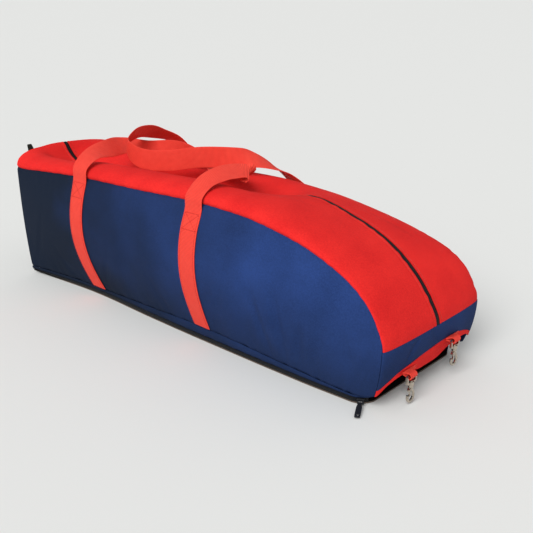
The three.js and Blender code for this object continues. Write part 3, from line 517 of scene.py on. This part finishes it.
def left_side_y(side, z):
    """Where the left end panel meets the inside of a side panel, at height z."""
    row = seam_section(np.zeros_like(z))
    seam_z = row["z"] - (row["lean"] if side == "back" else 0)
    r = np.clip((seam_z - z) / (seam_z - LEFT_SEAM_Z), 0, 1)
    below_seam = np.clip((LEFT_SEAM_Z - z) / (LEFT_SEAM_Z - LEFT_BASE_Z), 0, None)
    inset = RIM_INSET + (DRAW_IN + 3 * GAP) * below_seam
    y = side_point(np.zeros_like(z), r, side)[..., 1]
    return y - inset if side == "back" else y + inset


across = np.sin(np.linspace(-math.pi / 2, math.pi / 2, 70))
rim = top_point(np.zeros_like(across), across)
along_rim = np.gradient(rim[:, 1:], axis=0)
along_rim /= np.linalg.norm(along_rim, axis=1, keepdims=True)
rim_y, rim_z = rim[:, 1] + along_rim[:, 1] * RIM_INSET, rim[:, 2] - along_rim[:, 0] * RIM_INSET
v, t = np.meshgrid(np.linspace(0, 1, 60), across, indexing="ij")
front_edge = left_side_y("front", LEFT_FLOOR + v * (rim_z[0] - LEFT_FLOOR))
back_edge = left_side_y("back", LEFT_FLOOR + v * (rim_z[-1] - LEFT_FLOOR))
share = ((rim_y - rim_y[0]) / (rim_y[-1] - rim_y[0]))[None, :]
bow = LEFT_BOW * (1 - t * t) * np.sin(np.pi * v) ** 0.8
wrinkle = 1.2 * np.sin(7 * t + 3 * v) * np.sin(np.pi * v) * (1 - t * t)
left_face = np.stack([LEFT_X - bow - wrinkle, front_edge + (back_edge - front_edge) * share,
                      LEFT_FLOOR + v * (rim_z[None, :] - LEFT_FLOOR)], -1)
sew_in(cloth_wall("left_end_cloth", left_face, CLOTH), navy_duck, "navy_cloth", "bag", "left_end_panel")

# Right end. A navy band across the end, under it a red facing that is turned in at the lip of the mouth.
# Both bow out between the corner seams and crease where the empty sleeve hangs slack.
END_BOW = 9.0
END_NARROWING = 6.0
RED_CLOTH = "#EC2D29"
RED_SHADE = "#D62121"
# Across the end: y, height of the band's lower seam, height of the mouth's lip.
MOUTH_ROWS = np.array([
    [-140, 37, 25], [-122, 46, 40], [-100, 54, 48], [-66, 60, 46], [-20, 66, 39], [20, 69, 43], [64, 68, 53],
    [108, 59, 51], [140, 44, 36]], float)


def end_point(t, z):
    """Right end below the top panels: t across, z up."""
    below = (BAND_TOP_Z - z) / (BAND_TOP_Z - END_LOW_Z)
    half = HALF_WIDTH - END_NARROWING * below * below
    return np.stack([end_x(z) + END_BOW * shoulder(t) + 2 * GAP, half * t, z], -1)


def mouth_heights(t):
    """Heights of the band's lower seam and of the mouth's lip at a place across the end."""
    return np.moveaxis(curve_through(MOUTH_ROWS[:, 0], MOUTH_ROWS[:, 1:], HALF_WIDTH * t), -1, 0)


red_duck = duck_cloth("red_polyester_duck", RED_CLOTH, RED_SHADE)
end_across = np.sin(np.linspace(-math.pi / 2, math.pi / 2, 120))
t, v = np.meshgrid(end_across, np.linspace(0, 1, 40), indexing="ij")
low = mouth_heights(t)[0] + GAP / 2
band_face = end_point(t, low + v * (BAND_TOP_Z - GAP / 2 - low))
edge_dip = 1.2 * (bell(v, 0.06) + bell(1 - v, 0.06))
band_crease = 2.4 * bell(t + 0.62 - 0.25 * v, 0.05) + 1.6 * bell(t - 0.1 + 0.2 * v, 0.06)
band_face += ((1 - np.abs(t) ** 6) * (-edge_dip - band_crease * np.sin(np.pi * v)))[..., None] * (1, 0, 0)
sew_in(cloth_wall("right_end_band_cloth", band_face, CLOTH), navy_duck, "navy_cloth", "bag", "right_end_band")
t, v = np.meshgrid(end_across, np.linspace(0, 1, 24), indexing="ij")
band_low, lip = mouth_heights(t)
facing_face = end_point(t, lip + v * (band_low - GAP / 2 - lip))
lip_roll = bell(v, 0.2) - bell(1 - v, 0.1)
facing_face += ((1 - np.abs(t) ** 6) * (lip_roll + 0.8 * np.sin(15 * t + 2 * v)))[..., None] * (1, 0, 0)
sew_in(cloth_wall("mouth_facing_cloth", facing_face, CLOTH), red_duck, "red_cloth", "bag", "mouth_facing")

# Top panels. Red polyester duck sewn over the side panels along the arch, its edges hemmed along the zipper.
# The cloth sags along the zipper under the handles and rounds over the full shoulder to the right end.
PANEL_EDGE = 5.2
# Creases of the top: length along the seam line, place across, depth, half length, half width, slant.
TOP_CREASES = np.array([
    [60, -0.48, 5.0, 55, 0.13, 0.0012], [150, -0.66, 4.0, 60, 0.10, -0.0008],
    [240, -0.62, 1.5, 60, 0.05, 0.0008], [420, -0.55, 1.5, 70, 0.06, -0.0006],
    [560, -0.50, 1.4, 60, 0.06, 0.001], [650, -0.30, 1.0, 60, 0.07, 0.0016],
    [780, 0.55, 1.0, 70, 0.06, 0.001], [200, 0.60, 1.6, 70, 0.06, 0.001],
    [420, 0.55, 1.6, 80, 0.06, -0.001]], float)


def cross_place(row, y):
    """Place across the top, from -1 to 1, of a given y."""
    return (2 * y + HALF_WIDTH - row["back"]) / (HALF_WIDTH + row["back"])


def top_creases(s, t):
    """Sum of shallow creases, each a bell across its slanting line and a longer bell along it."""
    cs, ct, depth, reach, width, slant = (TOP_CREASES[:, k] for k in range(6))
    s, t = s[..., None], t[..., None]
    return (depth * np.exp(-(((t - ct - slant * (s - cs)) / width) ** 2) - ((s - cs) / reach) ** 2)).sum(-1)


def dressed_top(side):
    """Top panel from its seam to the zipper, with creases, ripples along both edges, seam dip and hem."""
    stations = np.concatenate([np.linspace(0, fan_start, 250), np.linspace(fan_start, seam_end, 90)[1:]])
    spread = np.sin(np.linspace(0, math.pi / 2, 74))
    s, v = np.meshgrid(stations, spread, indexing="ij")
    row = seam_section(s)
    sign = -1 if side == "front" else 1
    edge = cross_place(row, row["zip"] + sign * PANEL_EDGE)
    t = edge + (sign - edge) * v
    face = top_point(s, t)
    normal = face_normals(face) * (1 if side == "back" else -1)
    from_zip = lengths_along(face.swapaxes(0, 1)).T
    from_seam = from_zip[:, -1:] - from_zip
    out = pucker(s + 20, from_seam, height=0.7, reach=16) + pucker(s * 0.9, from_zip, height=0.8, reach=18)
    out -= top_creases(s, t) * np.clip(from_zip / 20, 0, 1) * np.clip(from_seam / 15, 0, 1)
    out -= 1.8 * bell(from_seam, 2.2) + 0.8 * bell(from_zip - 6, 1.2)
    out += 0.6 * bell(from_zip - 3, 2.0)
    face += out[..., None] * normal
    return face[:, ::-1] if side == "front" else face


for side in ("front", "back"):
    top_panel = cloth_wall(f"top_{side}_cloth", dressed_top(side), CLOTH)
    sew_in(top_panel, red_duck, "red_cloth", "bag", "top_panel_" + side)

# Main zipper. A black coil zipper sewn between the top panels from end to end. Its tape is sunk a little
# between their hems, and the coil stands up along its middle.
ZIPPER_HALF = 4.8
ZIPPER_TAPE = 1.4
zip_stations = np.linspace(0, seam_end, 420)
s, v = np.meshgrid(zip_stations, np.linspace(-1, 1, 15), indexing="ij")
row = seam_section(s)
zip_face = top_point(s, cross_place(row, row["zip"] + v * ZIPPER_HALF))
coil = bell(v, 0.4) - 0.8
zip_face += coil[..., None] * face_normals(zip_face)
main_zip = cloth_wall("main_zipper_coil", zip_face, ZIPPER_TAPE)
sew_in(main_zip, zip_tape, "zipper_tape", "bag", "main_zipper")

# Handles. Two lengths of 40 mm red polypropylene webbing, each sewn up a side panel, loose over the top, and
# sewn down again. The loops have fallen across each other and interlace over the sag.
WEBBING = 1.8
WEBBING_WIDTH = 40.0
LEG_LIFT = 0.7
LEG_FOOT = 4.0  # above the low seam
LEG_END_Z = 218.0
WEBBING_RED = "#F24C3C"
WEBBING_SHADE = "#E53B30"
# Loose stretch of each handle: middle of the webbing, then the direction of its width.
FRONT_LOOP = np.array([
    [-235, -144.5, 245, 1, 0, 0], [-235, -141, 270, 1, 0, -0.08], [-236, -114, 289, 0.96, 0, -0.28],
    [-244, -66, 293, 0.7, -0.2, -0.65], [-258, -14, 290, 0.6, -0.6, -0.5],
    [-240, 28, 277, 0.2, -0.5, -0.84], [-168, 46, 283, 0, 0, -1], [-105, 44, 279, 0, 0.3, -0.95],
    [-62, 39, 269, 0, 0.97, -0.22], [-20, 29, 263, 0, 1, 0], [20, 17, 266, 0.1, 0.98, 0],
    [44, 0, 274, 0.4, 0.9, 0], [66, -22, 284, 0.55, 0.82, 0], [87, -37, 291, 0.5, 0.82, -0.05],
    [100, -41, 293.5, 0, 0.98, 0.08], [109, -43, 296, -0.35, 0.88, 0.2],
    [111, -45.5, 299.5, -0.52, 0.79, 0.28], [105, -52, 301.5, -0.58, 0.74, 0.34],
    [98, -66, 302, -0.76, 0.5, 0.4], [90, -91, 300.5, -0.9, 0.2, 0.38], [82, -119, 291, -0.97, 0.1, 0.2],
    [79, -143, 270, -1, 0, 0], [79, -146, 248, -1, 0, 0]], float)
REAR_LOOP = np.array([
    [-235, 136, 230, 1, 0, 0], [-236, 133, 262, 1, 0, 0], [-243, 107, 289, 1, 0, 0.35],
    [-250, 66, 305, 0.8, 0, 0.6], [-240, 24, 316, 0.7, 0.1, 0.7], [-227, -20, 313.5, 0.5, 0.2, 0.85],
    [-208, -47, 297, 0.3, -0.2, 0.95], [-172, -46, 282, 0.1, 0, 1], [-120, -26, 281, 0, 0, 1],
    [-60, 8, 291, 0, 0, 1], [-4, 50, 290.5, -0.2, 0.15, 0.97], [20, 74, 286.5, -0.55, 0.68, 0.48],
    [40, 97, 275, -0.74, 0.62, 0.1], [57, 121, 257, -0.88, 0.4, -0.2], [77, 137, 230, -1, 0, 0]], float)


def leg_rows(side, x, lift):
    """Rows of a handle's sewn leg: places set off the side panel, with the panel's run as their width."""
    low_z = low_edge(x)[1]
    z = np.linspace(low_z + LEG_FOOT, LEG_END_Z, 9)
    s = np.full_like(z, station_at(x))
    seam_z = side_point(s, 0 * z, side)[:, 2]
    r = (seam_z - z) / (seam_z - low_z)
    run = side_point(s + 5, r, side) - side_point(s - 5, r, side)
    rise = side_point(s, r - 0.01, side) - side_point(s, r + 0.01, side)
    out = np.cross(run, rise) if side == "front" else np.cross(rise, run)
    out /= np.linalg.norm(out, axis=1, keepdims=True)
    run /= np.linalg.norm(run, axis=1, keepdims=True)
    return np.hstack([side_point(s, r, side) + lift * out, run])


def handle_line(side, loop, count):
    """Middle line of a handle's webbing with its width and thickness ways, evenly spaced from end to end."""
    lift = LEG_LIFT if side == "front" else LEG_LIFT + WEBBING
    down = leg_rows(side, LEG_X[1], lift)[::-1] * (1, 1, 1, -1, -1, -1)
    rows = np.vstack([leg_rows(side, LEG_X[0], lift), loop, down])
    knots = lengths_along(rows[:, :3])
    values = curve_through(knots, rows, np.linspace(0, knots[-1], count))
    line, width = values[:, :3], values[:, 3:]
    tangent = np.gradient(line, axis=0)
    tangent /= np.linalg.norm(tangent, axis=1, keepdims=True)
    width -= (width * tangent).sum(1, keepdims=True) * tangent
    width /= np.linalg.norm(width, axis=1, keepdims=True)
    through = np.cross(tangent, width)
    return line - through * WEBBING / 2, width, through


def swept(name, line, across, up, profile):
    """Profile points carried along a line: each point is the line plus its share of the two ways."""
    grid = line[:, None] + profile[None, :, :1] * across[:, None] + profile[None, :, 1:] * up[:, None]
    ids = np.arange(grid.shape[0] * grid.shape[1]).reshape(grid.shape[:2])
    ids = np.hstack([ids, ids[:, :1]])
    faces = grid_quads(ids).tolist() + [ids[0, :-1].tolist(), ids[-1, -2::-1].tolist()]
    along = np.broadcast_to(lengths_along(line)[:, None], grid.shape[:2])
    rounds = np.broadcast_to(profile[None, :, 0], grid.shape[:2])
    return mesh_object(name, grid.reshape(-1, 3), faces, np.stack([along, rounds], -1).reshape(-1, 2))


def webbing_profile(width, thick):
    """Flat band with rounded edges, counted round once."""
    turn = np.linspace(0, 2 * math.pi, 28, endpoint=False)
    reach = np.sign(np.cos(turn)) * np.abs(np.cos(turn)) ** 0.25
    return np.stack([reach * width / 2, np.sign(np.sin(turn)) * np.abs(np.sin(turn)) ** 0.6 * thick / 2], 1)


def ribbed_webbing(name, colour, shade, rib_mm=2.2, warp_mm=1.4):
    """Polypropylene webbing: ribbed across, with a soft gloss.

    Ribs are a sine along the band; real ones lie a little under 2 mm apart, and the red ones are drawn 2.2 mm
    so that they show. Warp threads are a finer sine across it, and noise makes some threads paler."""
    material, tree, shader = new_material(name, {"Roughness": 0.65, "Specular IOR Level": 0.2})
    place = add(tree, "ShaderNodeTexCoord")
    split = add(tree, "ShaderNodeSeparateXYZ", {0: place.outputs["UV"]})
    along = add(tree, "ShaderNodeMath", {0: split.outputs["X"], 1: 2 * math.pi / (rib_mm * MM)},
                operation="MULTIPLY")
    over = add(tree, "ShaderNodeMath", {0: split.outputs["Y"], 1: 2 * math.pi / (warp_mm * MM)},
               operation="MULTIPLY")
    ribs = add(tree, "ShaderNodeMath", {0: along.outputs[0]}, operation="SINE")
    warp = add(tree, "ShaderNodeMath", {0: over.outputs[0]}, operation="SINE")
    relief = add(tree, "ShaderNodeMath", {0: warp.outputs[0], 1: 0.35, 2: ribs.outputs[0]},
                 operation="MULTIPLY_ADD")
    slub = add(tree, "ShaderNodeTexNoise", {
        "Vector": place.outputs["Object"], "Scale": pattern_scale(11.111), "Detail": 4.0})
    tint = add(tree, "ShaderNodeMix", {"Factor": slub.outputs[0], "A": linear(shade), "B": linear(colour)},
               data_type="RGBA")
    lit = add(tree, "ShaderNodeMapRange", {
        "Value": relief.outputs[0], "From Min": -1.3, "From Max": 1.3, "To Min": 0.84, "To Max": 1.22})
    cloth = add(tree, "ShaderNodeVectorMath", {0: tint.outputs["Result"], "Scale": lit.outputs[0]},
                operation="SCALE")
    bump = add(tree, "ShaderNodeBump", {"Height": relief.outputs[0], "Strength": 0.6, "Distance": 0.6 * MM})
    tree.links.new(cloth.outputs[0], shader.inputs["Base Color"])
    tree.links.new(bump.outputs[0], shader.inputs["Normal"])
    return material


red_webbing = ribbed_webbing("red_polypropylene_webbing", WEBBING_RED, WEBBING_SHADE)
band_profile = webbing_profile(WEBBING_WIDTH, WEBBING)
handle_lines = {"front": handle_line("front", FRONT_LOOP, 460), "back": handle_line("back", REAR_LOOP, 430)}
for side, node_name in (("front", "handle_front"), ("back", "handle_rear")):
    line, width, through = handle_lines[side]
    strap = swept(node_name + "_webbing", line, width, through, band_profile)
    sew_in(strap, red_webbing, "red_webbing", "bag", node_name)

# Stitching. Lockstitch in red thread along the edges of the sewn handle legs, with a crossed box near their
# tops, and one row along each hem of the main zipper. Each stitch is a short raised run of thread.
THREAD = 0.45
STITCH_PITCH = 3.6
STITCH_LENGTH = 2.7
STITCH_EDGE = 16.5  # from the middle of the webbing to the rows along its edges
SEWN_TO_Z = {"front": 244, "back": 212}
SEWN_PAST_Y = 100.0
BOX_HEIGHT = 30.0
HEM_ROW = 5.0  # from the hem's edge
THREAD_RED = "#DE3A2E"
THREAD_DARK = "#B52620"


def run_of_stitches(points, ups):
    """Stitches along a row of points: each is a six-sided rod between two places on it, its ends sunk."""
    run = lengths_along(points)
    starts = np.arange(1.0, run[-1] - STITCH_LENGTH, STITCH_PITCH)
    share = np.array([0, 0.25, 0.75, 1])
    at = starts[:, None] + share * STITCH_LENGTH
    middle = np.stack([np.interp(at, run, points[:, k]) for k in range(3)], -1)
    up = np.stack([np.interp(at, run, ups[:, k]) for k in range(3)], -1)
    along = middle[:, -1:] - middle[:, :1]
    side = np.cross(along, up)
    side /= np.linalg.norm(side, axis=-1, keepdims=True)
    turn = np.linspace(0, 2 * math.pi, 6, endpoint=False)
    sink = np.array([-0.2, 0.3, 0.3, -0.2]) * THREAD
    ring = np.cos(turn)[:, None] * side[:, :, None] + np.sin(turn)[:, None] * up[:, :, None]
    return (middle + sink[:, None] * up)[:, :, None] + THREAD * ring


def stitching(name, runs):
    """One object from many runs of stitches."""
    rods = np.concatenate([run_of_stitches(points, ups) for points, ups in runs])
    count, rings, sides = rods.shape[:3]
    ids = np.arange(count * rings * sides).reshape(count, rings, sides)
    ids = np.concatenate([ids, ids[:, :, :1]], axis=2)
    walls = np.stack([ids[:, :-1, :-1], ids[:, 1:, :-1], ids[:, 1:, 1:], ids[:, :-1, 1:]], -1).reshape(-1, 4)
    ends = [row.tolist() for row in ids[:, 0, :-1]] + [row[::-1].tolist() for row in ids[:, -1, :-1]]
    return mesh_object(name, rods.reshape(-1, 3), walls.tolist() + ends)


def spun_thread(name, colour, dark, twist_mm=0.698):
    """Twisted polyester thread: a little glossy, with the fine slant of its twist.

    The wave has a band at every 2 pi / 10 of its scaled coordinates, which gives the scale from the twist."""
    material, tree, shader = new_material(name, {"Roughness": 0.5, "Specular IOR Level": 0.35})
    place = add(tree, "ShaderNodeTexCoord")
    bands = 2 * math.pi / 10 * pattern_scale(twist_mm)
    twist = add(tree, "ShaderNodeTexWave", {
        "Vector": place.outputs["Object"], "Scale": bands, "Distortion": 1.0}, bands_direction="DIAGONAL")
    tint = add(tree, "ShaderNodeMix", {
        "Factor": twist.outputs["Fac"], "A": linear(dark), "B": linear(colour)}, data_type="RGBA")
    tree.links.new(tint.outputs["Result"], shader.inputs["Base Color"])
    return material


red_thread = spun_thread("red_polyester_thread", THREAD_RED, THREAD_DARK)
for side, (line, width, through) in handle_lines.items():
    sign = 1 if (through[5, 1] > 0) == (side == "back") else -1
    face, out = line + sign * through * WEBBING / 2, sign * through
    first_half = np.arange(len(line)) < len(line) // 2
    across_row = np.linspace(-STITCH_EDGE, STITCH_EDGE, 12)[:, None]
    runs = []
    for leg in (first_half, ~first_half):
        sewn = leg & (line[:, 2] < SEWN_TO_Z[side]) & (np.abs(line[:, 1]) > SEWN_PAST_Y)
        for edge in (-STITCH_EDGE, STITCH_EDGE):
            runs.append(((face + edge * width)[sewn], out[sewn]))
        box = np.where(sewn & (line[:, 2] > SEWN_TO_Z[side] - BOX_HEIGHT))[0]
        reach = np.linspace(-STITCH_EDGE, STITCH_EDGE, len(box))[:, None]
        for slope in (-1, 1):
            runs.append((face[box] + slope * reach * width[box], out[box]))
        for row in (box[0], box[-1]):
            runs.append((face[row] + across_row * width[row], np.repeat(out[row:row + 1], 12, axis=0)))
    sew_in(stitching("handle_stitching_" + side, runs), red_thread, "red_webbing", "bag")
hem_s = np.linspace(4, seam_end - 4, 700)
hem_row = seam_section(hem_s)
hem_runs = []
for offset in (-PANEL_EDGE - HEM_ROW, PANEL_EDGE + HEM_ROW):
    place = cross_place(hem_row, hem_row["zip"] + offset)
    hem = top_point(hem_s, place)
    step_s, step_t = top_point(hem_s + 0.5, place) - hem, top_point(hem_s, place + 0.004) - hem
    up = np.cross(step_s, step_t)
    hem_runs.append((hem, up / np.linalg.norm(up, axis=1, keepdims=True)))
sew_in(stitching("zipper_hem_stitching", hem_runs), red_thread, "red_cloth", "bag")

# End tab. A short black webbing loop on the rim of the left end. It is folded double and stands up, with both
# its ends sewn into the rim.
END_TAB_Y = -97.0
END_TAB_THICK = 1.2
END_TAB_BLACK = "#2A2A22"
END_TAB_SHADE = "#191A15"
# Outline from the sewn foot over the fold and back: x, z, half width.
END_TAB_ROWS = np.array([
    [-460.4, 246, 8], [-461.4, 258, 7.4], [-466, 269, 5.4], [-469, 275, 4.3], [-471, 276.4, 4],
    [-473, 274.4, 4.2], [-469.5, 267, 5.6], [-465, 257, 7.4], [-463.8, 246, 8]], float)
tab_knots = lengths_along(END_TAB_ROWS[:, :2])
tab_path = curve_through(tab_knots, END_TAB_ROWS, np.linspace(0, tab_knots[-1], 60))
v = np.linspace(-1, 1, 12)
tab_y = END_TAB_Y - v * tab_path[:, 2:]
end_tab_face = np.stack(np.broadcast_arrays(tab_path[:, :1], tab_y, tab_path[:, 1:2]), -1)
black_webbing = ribbed_webbing("black_polypropylene_webbing", END_TAB_BLACK, END_TAB_SHADE, rib_mm=1.8)
end_tab = cloth_wall("end_tab_webbing", end_tab_face, END_TAB_THICK)
sew_in(end_tab, black_webbing, "black_webbing", "bag", "end_tab")

# Hook tabs. Short lengths of red webbing cut to a taper and folded round the eye of each hook. Their wide
# ends are sewn to the facing over the mouth.
TAB_HALF = 8.0
TAB_LOOP = 5.4
TAB_LAYERS = 2.0
FOLD_TURN = 1.9  # radians either way from straight out
GATHER = 0.35
# Each hook's eye bar: x, y, z. Then its tab's sewn root: x, z, from y, to y.
HOOK_ROWS = {"front": (475, -77, 49, 466, 52, -88, -48), "rear": (479, 43, 68.5, 468.6, 68.5, 32, 72)}
for side, (x, y, z, root_x, root_z, root_low, root_high) in HOOK_ROWS.items():
    turn = np.linspace(FOLD_TURN, -FOLD_TURN, 40)
    fold = np.stack([x + TAB_LOOP * np.cos(turn), z + TAB_LOOP * np.sin(turn)], 1)
    over = np.linspace((root_x, root_z + TAB_LAYERS), fold[0], 16)[:-1]
    under = np.linspace(fold[-1], (root_x, root_z - TAB_LAYERS), 16)[1:]
    loop = np.vstack([over, fold, under])
    v = np.linspace(0, 1, 40)
    out = np.clip((loop[:, :1] - root_x) / (x - TAB_LOOP - root_x), 0, 1)
    near = root_low + out * (y - TAB_HALF - root_low)
    far = root_high + out * (y + TAB_HALF - root_high)
    gathers = GATHER * out * np.cos(6 * np.pi * v) * np.clip((loop[:, :1] - x + 2) / 4, 0, 1)
    tab_face = np.stack(np.broadcast_arrays(loop[:, :1] + gathers, near + v * (far - near), loop[:, 1:]), -1)
    tab = cloth_wall("hook_tab_webbing_" + side, tab_face, WEBBING)
    sew_in(tab, red_webbing, "red_webbing", "bag", "hook_tab_" + side)

# Hooks and zip sliders. The hooks are die-cast and bent metal under bright nickel plating, the sliders and
# pulls die-cast metal under black enamel, worn a little at their edges.
NICKEL = "#D8CFC0"
NICKEL_RUBBED = "#8E8376"
ENAMEL = "#26272B"
ENAMEL_RUBBED = "#141518"


def plated_metal(name, colour, shade, metallic, gloss):
    """Plated or enamelled metal: fine grain in its gloss, and duller, darker patches where it is rubbed."""
    material, tree, shader = new_material(name, {"Metallic": metallic})
    place = add(tree, "ShaderNodeTexCoord")
    rub = add(tree, "ShaderNodeTexNoise", {
        "Vector": place.outputs["Object"], "Scale": pattern_scale(6.25), "Detail": 5.0})
    grain = add(tree, "ShaderNodeTexNoise", {
        "Vector": place.outputs["Object"], "Scale": pattern_scale(0.5556), "Detail": 2.0})
    tint = add(tree, "ShaderNodeMix", {"Factor": rub.outputs[0], "A": linear(shade), "B": linear(colour)},
               data_type="RGBA")
    rough = add(tree, "ShaderNodeMapRange", {
        "Value": rub.outputs[0], "From Min": 0.3, "From Max": 0.7, "To Min": gloss + 0.14, "To Max": gloss})
    bump = add(tree, "ShaderNodeBump", {"Height": grain.outputs[0], "Strength": 0.12, "Distance": 0.1 * MM})
    tree.links.new(tint.outputs["Result"], shader.inputs["Base Color"])
    tree.links.new(rough.outputs[0], shader.inputs["Roughness"])
    tree.links.new(bump.outputs[0], shader.inputs["Normal"])
    return material


nickel = plated_metal("bright_nickel_plate", NICKEL, NICKEL_RUBBED, metallic=1.0, gloss=0.16)
enamel = plated_metal("black_enamel_on_casting", ENAMEL, ENAMEL_RUBBED, metallic=0.0, gloss=0.28)
for node_name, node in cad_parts.items():
    if node_name.startswith(("hook_eye", "hook_body", "hook_gate")):
        node.data.materials[0] = nickel
    if node_name.endswith(("zip_slider", "zip_pull")):
        node.data.materials[0] = enamel

# Studio. A wide floor of pale paper, pale light from all round, and a broad key light from the front and
# above. The camera stands at the front right, where it was fitted to the bag's outline.
FLOOR_HALF = 40.0
FLOOR_Z = -0.0004
PAPER = "#E6E7E5"
ROOM_LIGHT = 0.47
PICTURE_PIXELS = 533
FOCAL_PIXELS = 841.94
SENSOR_WIDTH = 36
CAMERA_PLACE = (1.07147, -1.07766, 0.63689)
CAMERA_DOWN = 0.3467
CAMERA_TURN = 0.7273
floor_mesh = bpy.data.meshes.new("floor")
corners = [(x * FLOOR_HALF, y * FLOOR_HALF, FLOOR_Z) for x, y in ((-1, -1), (1, -1), (1, 1), (-1, 1))]
floor_mesh.from_pydata(corners, [], [(0, 1, 2, 3)])
floor = bpy.data.objects.new("floor", floor_mesh)
bpy.context.scene.collection.objects.link(floor)
paper = new_material("pale_backdrop_paper", {"Base Color": linear(PAPER), "Roughness": 0.9})[0]
floor.data.materials.append(paper)
world = bpy.data.worlds.new("pale_room")
bpy.context.scene.world = world
world.use_nodes = True
world.node_tree.nodes["Background"].inputs["Color"].default_value = (1.0, 1.0, 1.0, 1.0)
world.node_tree.nodes["Background"].inputs["Strength"].default_value = ROOM_LIGHT


def soft_sun(name, direction, strength, spread):
    """Broad even light shining from a direction; its spread, in degrees, softens the shadows."""
    light = bpy.data.lights.new(name, "SUN")
    light.energy = strength
    light.angle = math.radians(spread)
    lamp = bpy.data.objects.new(name, light)
    x, y, z = direction
    lamp.rotation_euler = (math.atan2(math.hypot(x, y), z), 0, math.atan2(x, -y))
    bpy.context.scene.collection.objects.link(lamp)


soft_sun("key_light", direction=(0.25, -0.8, 0.7), strength=2.6, spread=40)
camera_data = bpy.data.cameras.new("camera")
camera_data.sensor_width = SENSOR_WIDTH
camera_data.lens = FOCAL_PIXELS / PICTURE_PIXELS * SENSOR_WIDTH
camera = bpy.data.objects.new("camera", camera_data)
camera.location = CAMERA_PLACE
camera.rotation_euler = (math.pi / 2 - CAMERA_DOWN, 0, CAMERA_TURN)
bpy.context.scene.collection.objects.link(camera)
bpy.context.scene.camera = camera
bpy.context.scene.view_settings.view_transform = "Standard"
